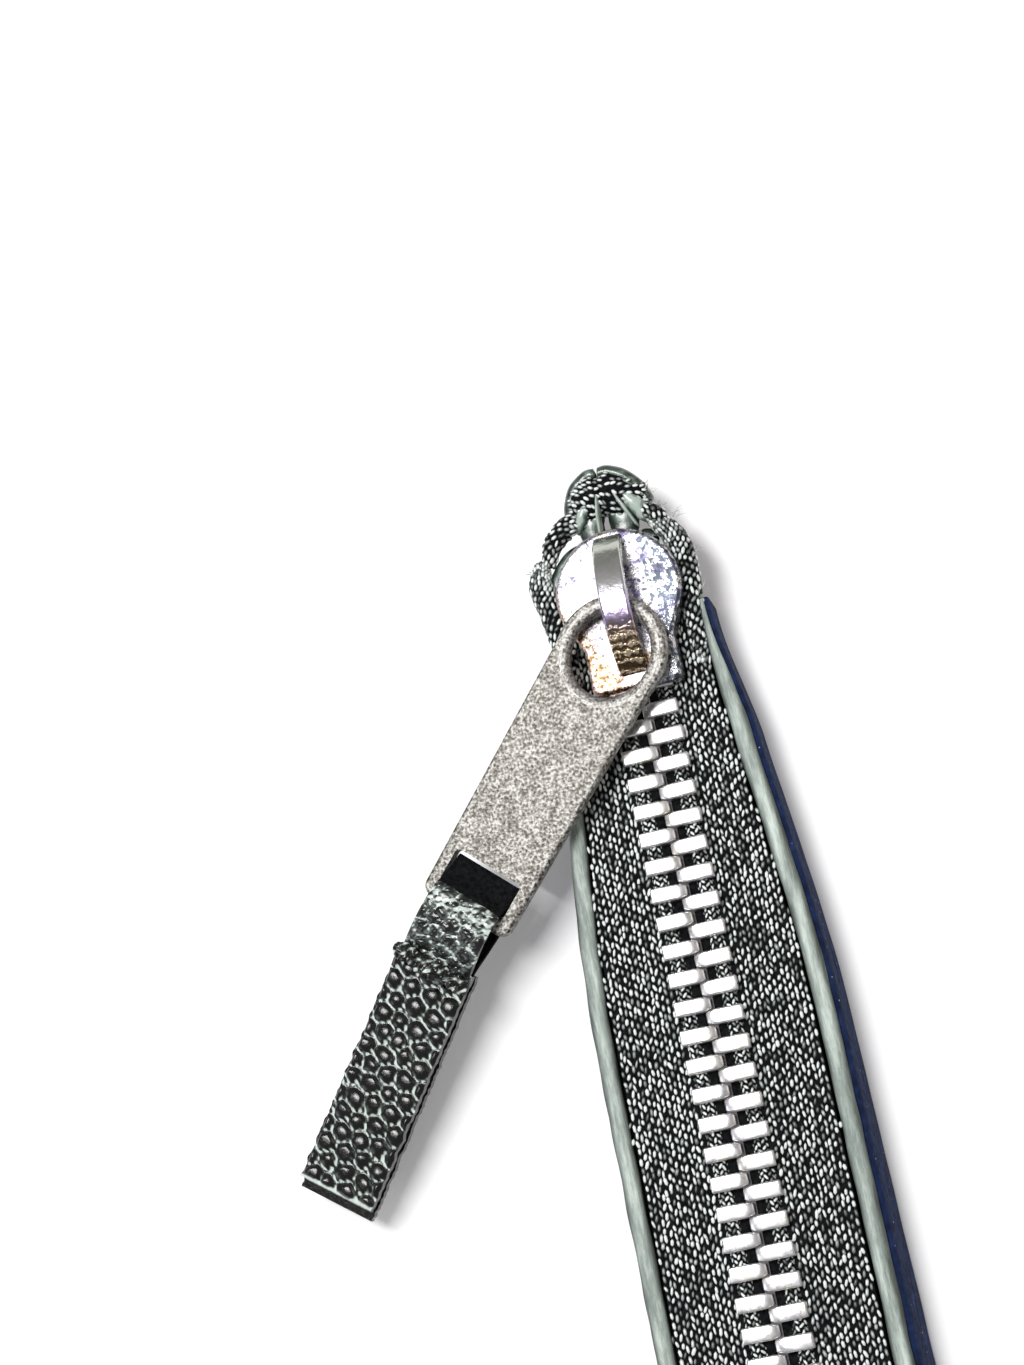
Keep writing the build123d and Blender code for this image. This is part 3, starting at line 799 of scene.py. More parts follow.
def make_cord(side):
    name = SIDE_NAME[side]
    y_low, y_high = box_mm(f"cord_{name}")[0].y, box_mm(f"cord_{name}")[1].y

    def shape(turn, way):
        y = y_low + (y_high - y_low) * way
        across, up = rounded(turn, cord_radius - 0.06, cord_radius - 0.06, 2)
        return stack(side * (cord_run(y) + across), y, tape_middle + up)

    core = smooth(roll(f"cord_core_{name}", 16, 200, shape), 60)
    finish_piece(core, weave_ground.material, STRINGER[side], "cord", f"cord_{name}")

    # The dark strip towards the chain's middle is painted shade in the gap between the teeth.
    def shade_lap_shape(turn, way):
        y = lap_foot + (slider_low.y - lap_foot) * way
        across, up = rounded(turn, (cord_run(y) - lap_edge) / 2, 0.34, 3)
        return stack(side * ((cord_run(y) + lap_edge) / 2 + across), y, tape_middle + up)

    shade_lap = roll(f"tape_shade_lap_{name}", 12, 200, shade_lap_shape)
    finish_piece(smooth(shade_lap, 60), weave_ground.material, STRINGER[side], "black_tape")
    centres, directions, outwards, lots = [], [], [], []
    for row, degrees in enumerate((-72, -38, -8, 22, 52, 80)):
        y = np.arange(y_low + 0.3 + 0.21 * row, min(y_high, slider_low.y + 6), 0.56)
        angle = math.radians(degrees) + rng.normal(0, 0.05, len(y))
        outward = stack(side * np.sin(angle), 0 * y, np.cos(angle))
        along = stack(side * np.cos(angle), 0 * y, -np.sin(angle))
        lean = math.radians(38 if row % 2 else -38) + rng.normal(0, 0.2, len(y))
        x = cord_run(y)
        centres.append(stack(side * x, y, 0 * y + tape_middle) + outward * (cord_radius - 0.07))
        directions.append(along * np.sin(lean)[:, None] + stack(0 * y, np.cos(lean), 0 * y))
        outwards.append(outward)
        lots.append(rng.uniform(0.35, 1.3, len(y)))
    centres, directions, outwards, lots = map(np.concatenate, (centres, directions, outwards, lots))
    sizes = half_sizes(len(lots), (0.15, 0), (0.34, 0.03), (0.12, 0))
    strokes = lay_floats(f"cord_weave_{name}", centres, directions, outwards, sizes, lots)
    finish_piece(strokes, weave_thread.material, STRINGER[side], "cord")


for side in (LEFT, RIGHT):
    make_cord(side)

# %% [markdown]
# ## Facings, linings and painted edges
# Each facing is a leather panel and a lining glued back to back; a thick rounded bead of paint closes the cut edge.
# The panel bellies out a little towards its foot, more so away from the slider, as soft leather does.
# All three are rolls that follow the facing's curve; the bead wavers slightly, because paint is laid by hand.

# %% Facings, linings and painted edges
belly_run = 130.0


def facing_roll(name, side, inner, outer, low, high, power, waver, belly=0.0, around=20, along=220, top_share=0.45):
    """A roll between two distances from the facing's inner face and two heights."""
    y_low, y_high = facing_foot, facing_end[side]

    def shape(turn, way):
        y = y_low + (y_high - y_low) * way
        across, up = rounded(turn, (outer - inner) / 2, (high - low) / 2, power)
        z = (low + high) / 2 + up
        taper = top_share + (1 - top_share) * ease(y_high, y_high - 13, y)
        x = facing_x(y) + taper * ((inner + outer) / 2 + across)
        fullness = np.clip((y_high - y) / belly_run, 0, 1) ** 1.3
        lean = belly * fullness * (1 - np.clip(z / high, 0, 1)) ** 0.8 * (across > 0)
        drift = waver * ripple(y, 3 * turn, 5.0, 5 + side)
        return stack(side * (x + lean + drift), y, z + 0.6 * drift * (up > 0))

    return roll(name, around, along, shape)


bead_low = crest - 0.75
bead_middle, bead_half = 0.76, 0.84
for side in (LEFT, RIGHT):
    name, body = SIDE_NAME[side], STRINGER[side]
    panel_wall, belly = (facing_wall, 1.9) if side == RIGHT else (1.72, 0.1)
    panel = facing_roll(f"facing_roll_{name}", side, lining_wall, panel_wall, 0.0, bead_low + 0.25, 6, 0.02, belly)
    finish_piece(smooth(panel), navy.material, body, "navy_leather", f"facing_{name}")
    liner = facing_roll(f"lining_roll_{name}", side, 0.0, lining_wall, 0.0, bead_low + 0.15, 9, 0.01)
    finish_piece(smooth(liner), lining.material, body, "lining_leather", f"lining_{name}")
    bead = facing_roll(
        f"painted_edge_{name}", side, -0.05, 1.62, bead_low - 0.1, crest + 0.12, 2.5, 0.05, 0.0, 24, 420, 0.3
    )
    # The crown value is painted light and shade: pale on the middle of the bead's top, dark on its sides and foot.
    bead_points = points_of(bead) / mm
    from_middle = np.abs(np.abs(bead_points[:, 0]) - facing_x(bead_points[:, 1]) - bead_middle) / bead_half
    paint_value(bead, "crown", np.clip(1.15 - 1.1 * from_middle**2, 0, 1) * (bead_points[:, 2] > bead_low + 0.1))
    finish_piece(smooth(bead, 80), paint.material, body, "edge_paint", f"edge_{name}")
    print("facing", name, "from", facing_foot, "to", round(facing_end[side], 1))

# %% [markdown]
# ## Teeth
# A tooth is a small stamped bar: a body clamped on the cord, and a lower, narrower head that locks between two others.
# It starts as a cube, is cut across where the head begins, the head's end is drawn in, and all edges are bevelled.
# One tooth is shaped, and every other is a copy set on the cord, turned with it inside the slider.

# %% One tooth
deselect()
bpy.ops.mesh.primitive_cube_add(size=1, location=(0, 0, 0))
tooth_model = bpy.context.object
tooth_long, tooth_wide, tooth_high = 3.35, 1.38, 2.6
tooth_model.scale = (tooth_long, tooth_wide, tooth_high)
bpy.ops.object.transform_apply(location=False, rotation=False, scale=True)
tooth_model.data.transform(Matrix.Translation((tooth_long / 2 - 0.35, 0, 0)))
with EditMode(tooth_model):
    for cut in (0.15, 0.55):
        bpy.ops.mesh.select_all(action="SELECT")
        bpy.ops.mesh.bisect(plane_co=(cut, 0, 0), plane_no=(1, 0, 0))
for vertex in tooth_model.data.vertices:
    if vertex.co.x < 0.2:
        vertex.co.y *= 0.84
        vertex.co.z *= 0.96
    if vertex.co.x < -0.3:
        vertex.co.y *= 0.86
        vertex.co.z *= 0.86
only(tooth_model)
soften = tooth_model.modifiers.new("soft edges", "BEVEL")
soften.width, soften.segments, soften.limit_method, soften.angle_limit = 0.17, 3, "ANGLE", math.radians(20)
bpy.ops.object.modifier_apply(modifier=soften.name)
smooth(tooth_model, 45)
tooth_points, tooth_faces = take_model(tooth_model)
tooth_level = (box_mm("teeth_right")[0].z + box_mm("teeth_right")[1].z) / 2
print("a tooth has", len(tooth_faces), "faces")

# %% Both rows of teeth
tooth_pitch, first_tooth = 2.575, 3.0


def row_of_teeth(side):
    name = SIDE_NAME[side]
    first = first_tooth + (tooth_pitch / 2 if side == RIGHT else 0)
    places = [y for y in first + np.arange(80) * tooth_pitch if y <= slider_low.y + 9.4]
    points, faces = [], []
    for y in places:
        x = float(cord_run(np.array(y)))
        slope = float(cord_run(np.array(y + 0.05)) - cord_run(np.array(y - 0.05))) / 0.1
        tilt = math.atan(slope) + rng.normal(0, 0.012)
        local = tooth_points - (cord_x, 0, 0)
        local = local * (1, 1, 1 + rng.normal(0, 0.008))
        turned_x = local[:, 0] * math.cos(tilt) + local[:, 1] * math.sin(tilt)
        turned_y = -local[:, 0] * math.sin(tilt) + local[:, 1] * math.cos(tilt)
        base = len(points) * len(tooth_points)
        points.append(stack(side * (x + turned_x), y + turned_y, tooth_level + local[:, 2]))
        faces += [tuple(i + base for i in (face if side == RIGHT else face[::-1])) for face in tooth_faces]
    piece = smooth(piece_from(f"teeth_row_{name}", np.concatenate(points), faces), 45)
    finish_piece(piece, tooth_metal.material, STRINGER[side], "polished_nickel", f"teeth_{name}")
    print(name, "row has", len(places), "teeth")


for side in (LEFT, RIGHT):
    row_of_teeth(side)

# %% [markdown]
# ## Folded tape beside the crown
# Where the slider rests, the spare tape is folded round its crown: two bulges on the left, a longer band on the right.
# Each is a roll along a given path, tapering at its ends, with floats laid all over its upper half.

# %% Folded tape beside the crown
def smooth_path(points, share):
    """A point at each share from 0 to 1 of a path through the given points, as Catmull-Rom would draw it."""
    points = np.asarray(points, float)
    ends = np.vstack([2 * points[0] - points[1], points, 2 * points[-1] - points[-2]])
    place = np.clip(np.asarray(share), 0, 1) * (len(points) - 1)
    index = np.minimum(place.astype(int), len(points) - 2)
    t = (place - index)[..., None]
    a, b, c, d = (ends[index + k] for k in range(4))
    return 0.5 * (2 * b + (c - a) * t + (2 * a - 5 * b + 4 * c - d) * t**2 + (3 * b - a - 3 * c + d) * t**3)


def along_path(points, share):
    """Places on a path with the directions along it and to its right, level with the floor."""
    place = smooth_path(points, share)
    ahead = smooth_path(points, np.asarray(share) + 0.01) - smooth_path(points, np.asarray(share) - 0.01)
    ahead[..., 2] = 0
    ahead /= np.maximum(np.linalg.norm(ahead, axis=-1, keepdims=True), 1e-9)
    right = np.stack([ahead[..., 1], -ahead[..., 0], np.zeros_like(ahead[..., 0])], axis=-1)
    return place, ahead, right


def folded_surface(path, half_width, half_height, seed, blunt=False):
    """The surface of a folded roll: a point and its outward direction for each turn and way."""
    narrowing = 0.02 if blunt else 0.35

    def surface(turn, way):
        place, ahead, right = along_path(path, way)
        swell = (np.clip(np.sin(np.pi * np.clip(way, 0.0, 1.0)), 0, 1) ** narrowing)[..., None] * 0.97 + 0.03
        angle = (turn * 2 * np.pi)[..., None]
        lump = 1 + 0.07 * ripple(turn * 6, way * 9, 3.0, seed)[..., None]
        out = right * np.cos(angle) * half_width + np.array([0, 0, 1.0]) * np.sin(angle) * half_height
        point = place + out * swell * lump
        outward = right * np.cos(angle) * half_height + np.array([0, 0, 1.0]) * np.sin(angle) * half_width
        return point, outward / np.linalg.norm(outward, axis=-1, keepdims=True), ahead

    return surface


def weave_on(name, side, laid, lean, sizes, lots):
    """Floats on a surface: laid holds each float's point, outward direction and forward direction."""
    point, outward, ahead = laid
    lean = lean[:, None]
    lengthwise = ahead * np.cos(lean) + np.cross(ahead, outward) * np.sin(lean)
    floats = lay_floats(name, point, lengthwise, outward, sizes, lots)
    return finish_piece(floats, weave_thread.material, STRINGER[side], "black_tape")


def woven_fold(name, side, surface, rows, length, girth, *nodes):
    """A folded roll and the floats on its upper half; length and girth in millimetres set how many."""
    piece = roll(f"{name}_fold", 22, rows, lambda turn, way: surface(turn, way)[0])
    finish_piece(smooth(piece, 70), weave_ground.material, STRINGER[side], "black_tape", *nodes)
    columns, number = max(int(girth / 0.42), 3), int(length / 0.72)
    turn, way = np.meshgrid(np.linspace(0.02, 0.48, columns), (np.arange(number) + 0.5) / number)
    way = way + (np.arange(columns) * 0.36 % 1.0 - 0.5) / number
    turn, way = turn.ravel(), np.clip(way.ravel(), 0.03, 0.97)
    point, outward, ahead = surface(turn, way)
    lean = rng.normal(0.3, 0.3, len(turn))
    sizes = half_sizes(len(turn), (0.21, 0.02), (0.42, 0.06), (0.19, 0))
    lots = rng.uniform(0.3, 1.3, len(turn))
    weave_on(f"{name}_weave", side, (point - 0.02 * outward, outward, ahead), lean, sizes, lots)


# Each row is a name, a side, half sizes, (rows, length, girth), the node it replaces and its path.
# A path's places are across, along and over the folds' level.
fold_level = tape_middle + 0.15
woven_folds = (
    ("left_bulge", LEFT, (1.2, 1.0), (60, 14, 3.9), ("tail_left",),
     ((-6.1, 138.5, -0.3), (-6.2, 142.8, -0.1), (-6.8, 147.0, 0.1), (-7.25, 149.9, 0.3), (-6.8, 152.1, 0.1))),
    ("left_arch", LEFT, (0.95, 0.95), (40, 7, 3.2), (),
     ((-6.2, 151.4, 0.1), (-5.5, 153.2, 0.4), (-4.0, 154.6, 0.6), (-2.7, 154.9, 0.4), (-2.2, 154.2, 0))),
    ("right_band", RIGHT, (1.05, 0.95), (60, 17, 3.6), ("tail_right",),
     ((6.1, 138.5, -0.3), (6.2, 143.5, -0.1), (6.35, 147.5, 0), (6.1, 150.6, 0.2), (5.1, 152.6, 0.4),
      (3.9, 153.9, 0.3))),
    ("right_hem", RIGHT, (0.75, 0.8), (24, 4, 2.6), (),
     ((5.5, 152.3, 0.5), (4.6, 153.8, 0.8), (3.2, 154.7, 0.7))),
)
for seed, (name, side, halves, extent, nodes, places) in enumerate(woven_folds, start=1):
    path = [(x, y, fold_level + over) for x, y, over in places]
    woven_fold(name, side, folded_surface(path, *halves, seed), *extent, *nodes)

# %% [markdown]
# ## Gathered cap and pleats
# Past the crown both tapes and the glossy edge film are gathered into pleats, and a rounded cap closes them.
# Each half rides on its own side's tape, so the cap parts along its middle crease when the sides spread.
# The cap is a lumpy dome with floats on it and a glossy film rolled along its rim.

# %% Gathered cap and pleats
def cap_surface(side, reach):
    """Half a gathered dome: turn goes round the front-to-back section and way goes out from the middle crease."""

    def surface(turn, way):
        x = 0.04 + (reach - 0.04) * np.clip(way, 0, 1)
        size = np.sqrt(np.clip(1 - (x / reach) ** 2.6, 0.0, 1)) * 0.97 + 0.03
        angle = turn * 2 * np.pi
        crease = 1 - 0.18 * np.exp(-((x / 0.5) ** 2))
        lump = 1 + 0.06 * ripple(x * 1.0, turn * 6, 2.2, 8 + side)
        y = 157.0 - 0.09 * (x * (x > 0)) ** 1.6 + 2.25 * np.cos(angle) * size * lump * crease
        z = tape_middle + 0.3 + 1.75 * np.sin(angle) * size * lump * crease
        outward = stack(side * (x / reach) ** 3 * 0.8, np.cos(angle), np.sin(angle))
        outward /= np.linalg.norm(outward, axis=-1, keepdims=True)
        ahead = stack(np.full_like(x, float(side)), 0 * x, 0 * x)
        return stack(side * x, y, z), outward, ahead

    return surface


for side, reach in ((LEFT, 3.2), (RIGHT, 4.3)):
    name = SIDE_NAME[side]
    dome_surface = cap_surface(side, reach)
    dome = roll(f"cap_dome_{name}", 26, 26, lambda turn, way: dome_surface(turn, way)[0])
    finish_piece(smooth(dome, 70), weave_ground.material, STRINGER[side], "black_tape", f"cap_{name}")
    turn, way = np.meshgrid(np.linspace(0.10, 0.62, 10), np.linspace(0.06, 0.93, 7))
    count = turn.size
    turn, way = turn.ravel() + rng.normal(0, 0.008, count), way.ravel() + rng.normal(0, 0.02, count)
    lean = rng.normal(0.5, 0.35, count)
    sizes = half_sizes(count, (0.2, 0), (0.4, 0), (0.18, 0))
    weave_on(f"cap_weave_{name}", side, dome_surface(turn, way), lean, sizes, rng.uniform(0.5, 1.3, count))


def film_fold(name, side, path, half_width, half_height, seed, *nodes, light_shift=0.0, blunt=False):
    """A glossy roll of edge film, with a painted highlight along its top and painted shade at its foot; blunt keeps
    its ends full.
    """
    surface = folded_surface(path, half_width, half_height, seed, blunt)
    piece = roll(name, 20, 40, lambda turn, way: surface(turn, way)[0])
    points = points_of(piece) / mm
    middle = smooth_path(path, np.linspace(0, 1, 60))
    nearest = np.linalg.norm(points[:, None, :2] - middle[None, :, :2], axis=2)
    height = points[:, 2] - middle[nearest.argmin(axis=1)][:, 2]
    # A painted highlight on the upper part of the roll; its foot stays dark as painted shade.
    ridge = 0.60 * np.clip(height / half_height, 0, 1) ** 3
    film_light = light_shift + 0.15 + ridge + 0.16 * ripple(points[:, 0], points[:, 1], 0.9, seed)
    paint_value(piece, "film_light", np.clip(film_light, 0, 1))
    return finish_piece(smooth(piece, 80), film.material, STRINGER[side], "pleat_film", *nodes)


# Each row is a name, a side, half sizes, how much paler it is as painted light, whether its ends are full, the node
# it replaces and its path. The bright pleats get painted highlight and the dark rims painted shade.
film_folds = (
    ("cap_rim_left", LEFT, (0.72, 0.85), -0.26, True, (),
     [(-3.2, 155.2, 4.7), (-3.1, 156.7, 5.2), (-2.3, 158.2, 5.6), (-1.1, 158.95, 5.75), (-0.02, 159.1, 5.8)]),
    ("cap_rim_right", RIGHT, (0.72, 0.85), -0.24, True, (),
     [(0.02, 159.1, 5.8), (1.3, 158.9, 5.85), (2.6, 158.1, 5.8), (3.6, 156.8, 5.5), (4.2, 155.4, 5.0)]),
    ("cap_crest", RIGHT, (0.5, 0.5), -0.05, False, (),
     [(1.1, 158.0, 6.2), (2.1, 157.6, 6.4), (3.1, 156.8, 6.2), (3.9, 155.7, 5.7)]),
    ("pleat_left_inner", LEFT, (0.24, 0.95), 0.55, False, ("pleats_left",),
     [(-0.75, 152.6, 6.1), (-0.5, 154.9, 6.5), (-0.25, 156.8, 6.7)]),
    ("pleat_left_outer", LEFT, (0.6, 0.75), 0.22, False, (),
     [(-2.9, 153.8, 5.7), (-2.1, 155.2, 6.2), (-1.0, 156.6, 6.5)]),
    ("pleat_right_inner", RIGHT, (0.22, 0.85), 0.5, False, ("pleats_right",),
     [(2.9, 153.0, 5.9), (2.0, 155.0, 6.5), (1.2, 156.9, 6.8)]),
    ("pleat_right_outer", RIGHT, (0.75, 0.65), 0.4, False, (),
     [(4.1, 153.3, 5.8), (3.2, 154.9, 6.3), (2.0, 156.7, 6.7)]),
    ("pleat_web_left", LEFT, (1.25, 0.6), -0.1, False, (),
     [(-1.3, 152.0, 5.3), (-1.5, 154.6, 5.5), (-0.9, 156.8, 5.7)]),
    ("pleat_web_right", RIGHT, (1.45, 0.6), -0.1, False, (),
     [(1.5, 152.0, 5.3), (1.6, 154.6, 5.5), (1.1, 156.8, 5.7)]),
)
for seed, (name, side, halves, light_shift, blunt, nodes, path) in enumerate(film_folds, start=11):
    film_fold(name, side, path, *halves, seed, *nodes, light_shift=light_shift, blunt=blunt)

# The webs round the crown are shifted darker as painted shade.
web_radius = crown_radius + 0.35
for side, (start, end) in ((LEFT, (0.45, 1.75)), (RIGHT, (0.45, 1.9))):
    angles = np.linspace(end, start, 9)
    band = [(side * web_radius * math.sin(a), crown_y + web_radius * math.cos(a), tape_middle) for a in angles]
    film_fold(f"crown_web_{SIDE_NAME[side]}", side, band, 1.0, 0.42, 20 + side, light_shift=-0.1)

# %% [markdown]
# ## Frayed fibres
# The cut ends of the tape fray into stiff curled fibres. Each is a thin tapering hair, placed at the places that fray.

# %% Frayed fibres
def frays(name, side, roots, length, thickness=0.035, steps=6, hairs=7):
    """Short curled hairs; each root is (place, direction), and a few are set around each."""
    points, faces, crown = [], [], []
    for place, direction in roots:
        for _ in range(hairs):
            here = np.array(place, float) + rng.normal(0, 0.22, 3)
            ahead = np.array(direction, float) + rng.normal(0, 0.45, 3)
            curl = rng.normal(0, 0.35, 3)
            for step in range(steps + 1):
                ahead = ahead / np.linalg.norm(ahead) + curl * 0.3
                wide = thickness * (1.15 - step / steps)
                side_way = np.cross(ahead, (0.1, 0.2, 1.0))
                side_way /= np.linalg.norm(side_way)
                up_way = np.cross(side_way, ahead / np.linalg.norm(ahead))
                for angle in (0, 2.1, 4.2):
                    points.append(here + wide * (math.cos(angle) * side_way + math.sin(angle) * up_way))
                    # Each point gets a random painted highlight strength for the thread's colour ramp.
                    crown.append(rng.uniform(0.2, 0.9))
                base = len(points) - 3
                if step:
                    faces += [(base - 3 + k, base - 3 + (k + 1) % 3, base + (k + 1) % 3, base + k) for k in range(3)]
                else:
                    faces.append((base, base + 1, base + 2))
                here = here + ahead / np.linalg.norm(ahead) * length / steps
            faces.append((len(points) - 1, len(points) - 2, len(points) - 3))
    piece = piece_from(name, points, faces)
    paint_value(piece, "crown", crown)
    paint_value(piece, "lot", np.ones(len(crown)))
    face_outwards(piece)
    return finish_piece(piece, weave_thread.material, STRINGER[side], "black_tape")


right_roots = [
    ((6.3, 153.4, 5.9), (1, 0.4, 0)), ((5.0, 154.4, 6.3), (0.8, 0.8, 0.2)), ((4.5, 156.4, 6.2), (1, 0.6, 0)),
    ((7.1, 149.4, 5.6), (1, 0.1, 0)), ((7.0, 146.0, 5.6), (1, -0.3, 0)),
]
left_roots = [
    ((-7.9, 151.4, 5.6), (-1, 0.3, 0)), ((-7.3, 145.5, 5.6), (-1, -0.2, 0)), ((-3.3, 157.2, 6.0), (-1, 0.3, 0)),
]
frays("frays_right", RIGHT, right_roots, 0.9)
frays("frays_left", LEFT, left_roots, 0.6)

# %% [markdown]
# ## Pull tab: the rim round its eye
# The tab's plate comes from CAD. Round its eye stands a rounded rim, a little brighter and finer in grain.
# The rim follows the egg-shaped hole, so it is a roll along an ellipse in the tab's own tilted plane.

# %% The rim round the eye
tab_yaw, tab_tilt, strap_yaw = math.radians(43), math.radians(5), math.radians(36.5)
tab_down = np.array(
    [-math.sin(tab_yaw) * math.cos(tab_tilt), -math.cos(tab_yaw) * math.cos(tab_tilt), -math.sin(tab_tilt)]
)
tab_across = np.array([math.cos(tab_yaw), -math.sin(tab_yaw), 0.0])
tab_up = np.cross(tab_across, -tab_down)
strap_bar = np.array([-19.5829, 121.692, 6.58876])
tab_length, slot_bar, eye_wall = 32.5, 1.5, 1.25
eye_hole = (3.75, 4.15)
hole_centre = strap_bar - tab_down * (tab_length - slot_bar / 2 - eye_wall - eye_hole[1])


def tab_point(across, up_the_tab, above):
    """A point from its place across the tab, towards the slider from the hole, and above the plate's middle."""
    return hole_centre + tab_across * across[..., None] - tab_down * up_the_tab[..., None] + tab_up * above[..., None]


def eye_rim(turn, way):
    angle = way * 2 * np.pi
    across, above = rounded(turn, 0.78, 0.66, 2.6)
    across = across * (1 + 0.15 * (np.sin(angle) < 0) * np.sin(angle) ** 2)
    reach_x, reach_y = eye_hole[0] + 0.70 + across, eye_hole[1] + 0.72 + across
    return tab_point(reach_x * np.cos(angle), reach_y * np.sin(angle), above)


rim_metal = Finish("eye rim nickel", 0.5, 0.9)
rim_grain = rim_metal.weighed((rim_metal.noise(4300, 2), 0.6), (rim_metal.noise(700, 3), 0.4))
rim_metal.colour(rim_metal.ramp(
    rim_grain,
    (0.38, (0.10, 0.095, 0.085)), (0.47, (0.26, 0.25, 0.235)), (0.56, (0.44, 0.43, 0.42)), (0.66, (0.72, 0.71, 0.70)),
))
rim_metal.roughness(rim_grain, 0.38, 0.62)
rim_metal.bump(rim_grain, 0.10, 0.9)
rim = grid_piece("eye_rim", 20, 120, eye_rim)
with EditMode(rim):
    bpy.ops.mesh.remove_doubles(threshold=weld_distance)
    bpy.ops.mesh.normals_make_consistent(inside=False)
finish_piece(smooth(rim, 80), rim_metal.material, "tab", "blasted_nickel")
print("eye centre in mm", hole_centre.round(2))

# %% [markdown]
# ## Leather strap
# The strap is one strip through the tab's slot, doubled and glued over a core, with its end folded into a lip.
# Its glazed leather has pebbles about two millimetres apart: dark rounded domes with a pale broken net between them.
# The domes are real relief on a fine grid. The pale net is a painted highlight: the same cell distances are painted on
# the mesh for the colour, and the highlight is paler on the side of each pebble that lies towards the strap's tip.

# %% Pebbles
def pebble_field(x, y, pitch=1.92, seed=21):
    """For each point, how high its pebble stands (0 to 1) and how strong the painted highlight in the net is there (0
    and up).
    """
    local = np.random.default_rng(seed)
    row_pitch = pitch * 0.84
    rows, columns = int(np.ptp(y) / row_pitch) + 4, int(np.ptp(x) / pitch) + 4
    centres = np.array([
        (x.min() + (c - 1 + 0.5 * (r % 2)) * pitch, y.min() + (r - 1) * row_pitch)
        for r in range(rows) for c in range(columns)
    ])
    centres += local.normal(0, 0.22, (len(centres), 2))
    grow = local.normal(0, 0.10, len(centres))
    distance = np.hypot(x[..., None] - centres[:, 0], (y[..., None] - centres[:, 1]) * 1.06) - grow
    nearest = np.partition(distance, 1, axis=-1)[..., :2]
    nearest.sort(axis=-1)
    gap = nearest[..., 1] - nearest[..., 0]
    reach = nearest[..., 0] / (pitch / 2)
    height = ease(-0.15, 0.75, gap) * (1 - 0.62 * np.clip(reach, 0, 1.2) ** 2)
    # The painted highlight in the net is stronger on each pebble's side towards the strap's tip, and broken up by
    # noise.
    below = (y - centres[distance.argmin(axis=-1), 1]) / (pitch / 2)
    broken = np.clip(0.84 + 0.75 * ripple(x, y, 0.45, seed + 3), 0.25, 1.4)
    lit = np.clip(0.72 + 0.55 * below, 0.25, 1.15) * broken
    return height, (1 - ease(-0.05, 1.05, gap)) ** 0.9 * lit


# %% [markdown]
# ## The two outer layers
# Each layer starts as a fine grid on the strap's plane, gets its relief, and is then extruded to its thickness.
# The cut sides are left dark, and the tip of the top layer is worn pale where its glaze has cracked off.

# %% The two outer layers
yaw_between = tab_yaw - strap_yaw
strap_down = tab_down * math.cos(yaw_between) + tab_across * math.sin(yaw_between)
strap_across = tab_across * math.cos(yaw_between) - tab_down * math.sin(yaw_between)
neck_length = 5.0
strap_start = strap_bar + tab_down * neck_length + strap_down * 0.45
strap_length, strap_width, layer_thick, half_core, tip_step = 24.0, 7.5, 1.1, 0.3, 1.1
relief_depth = 0.36


def strap_point(across, down, above):
    return strap_start + strap_across * across[..., None] + strap_down * down[..., None] + tab_up * above[..., None]


def pebbled_layer(name, node, facing_up, seed, length):
    """A strap layer whose outer face is pebbled; facing_up is 1 for the top layer and -1 for the bottom one."""
    columns, rows = 84, 262
    store = {}

    def shape(u, v):
        x, y = (u - 0.5) * strap_width, v * length
        height, net = pebble_field(x, y, seed=seed)
        edge = np.minimum(0.5 - np.abs(u - 0.5), 0.5) * strap_width
        rim = ease(0.0, 0.35, edge) * ease(0.0, 0.35, y) * ease(0.0, 0.3, length - y)
        worn = np.maximum(1 - ease(0.1, 0.55, length - y + 0.2 * ripple(x, y, 2.0, seed)), 0)
        at_side = np.abs(u - 0.5) > 0.49
        ragged = (0.07 * ripple(y, x * 0.2, 2.2, seed + 1) + 0.05 * ripple(y, 0 * x, 0.9, seed + 2)) * at_side
        dome = relief_depth * height * rim * (1 - 0.7 * worn)
        above = half_core + layer_thick - 0.34 + dome + 0.05 * ripple(x, y, 7.0, seed)
        # The net's painted highlight, weaker near the edges, plus the real pale wear at the tip.
        store["net"] = np.clip(net * (1 - 0.25 * (1 - rim)) + 0.9 * worn, 0, 1.1)
        return strap_point(x + ragged, y, facing_up * above)

    piece = grid_piece(name, columns, rows, shape)
    paint_value(piece, "sheen_and_wear", store["net"])
    drop = -tab_up * facing_up * (layer_thick - relief_depth) * mm
    with EditMode(piece):
        bpy.ops.mesh.select_mode(type="EDGE")
        bpy.ops.mesh.select_all(action="DESELECT")
        bpy.ops.mesh.select_non_manifold()
        for share in (0.15, 0.85):
            bpy.ops.mesh.extrude_region_move(TRANSFORM_OT_translate={"value": tuple(drop * share)})
        bpy.ops.mesh.edge_face_add()
    values = np.empty(len(piece.data.vertices), np.float32)
    piece.data.attributes["sheen_and_wear"].data.foreach_get("value", values)
    grid_count = (columns + 1) * (rows + 1)
    values[grid_count:] = np.minimum(values[grid_count:], 0.12)
    paint_value(piece, "sheen_and_wear", values)
    face_outwards(piece)
    smooth(piece, 48)
    print(name, "has", len(piece.data.polygons), "faces")
    return finish_piece(piece, pebbled.material, "strap", "black_leather", node)


pebbled_layer("strap_upper_leather", "strap_top", 1, 21, strap_length - tip_step)
pebbled_layer("strap_lower_leather", "strap_bottom", -1, 33, strap_length)

# %% [markdown]
# ## Core, lip and loop
# The core shows as a thin pale line between the layers. The lip is the strip's end, folded back and rough.
# The loop is thinner skived leather that goes round the tab's bar: its pebbles are flat, and a painted highlight
# brightens it where it turns over the bar.
# The slack inside the slot gets the black woven-ground material on its faces, a dark sheet that stands in for the deep
# shade there.

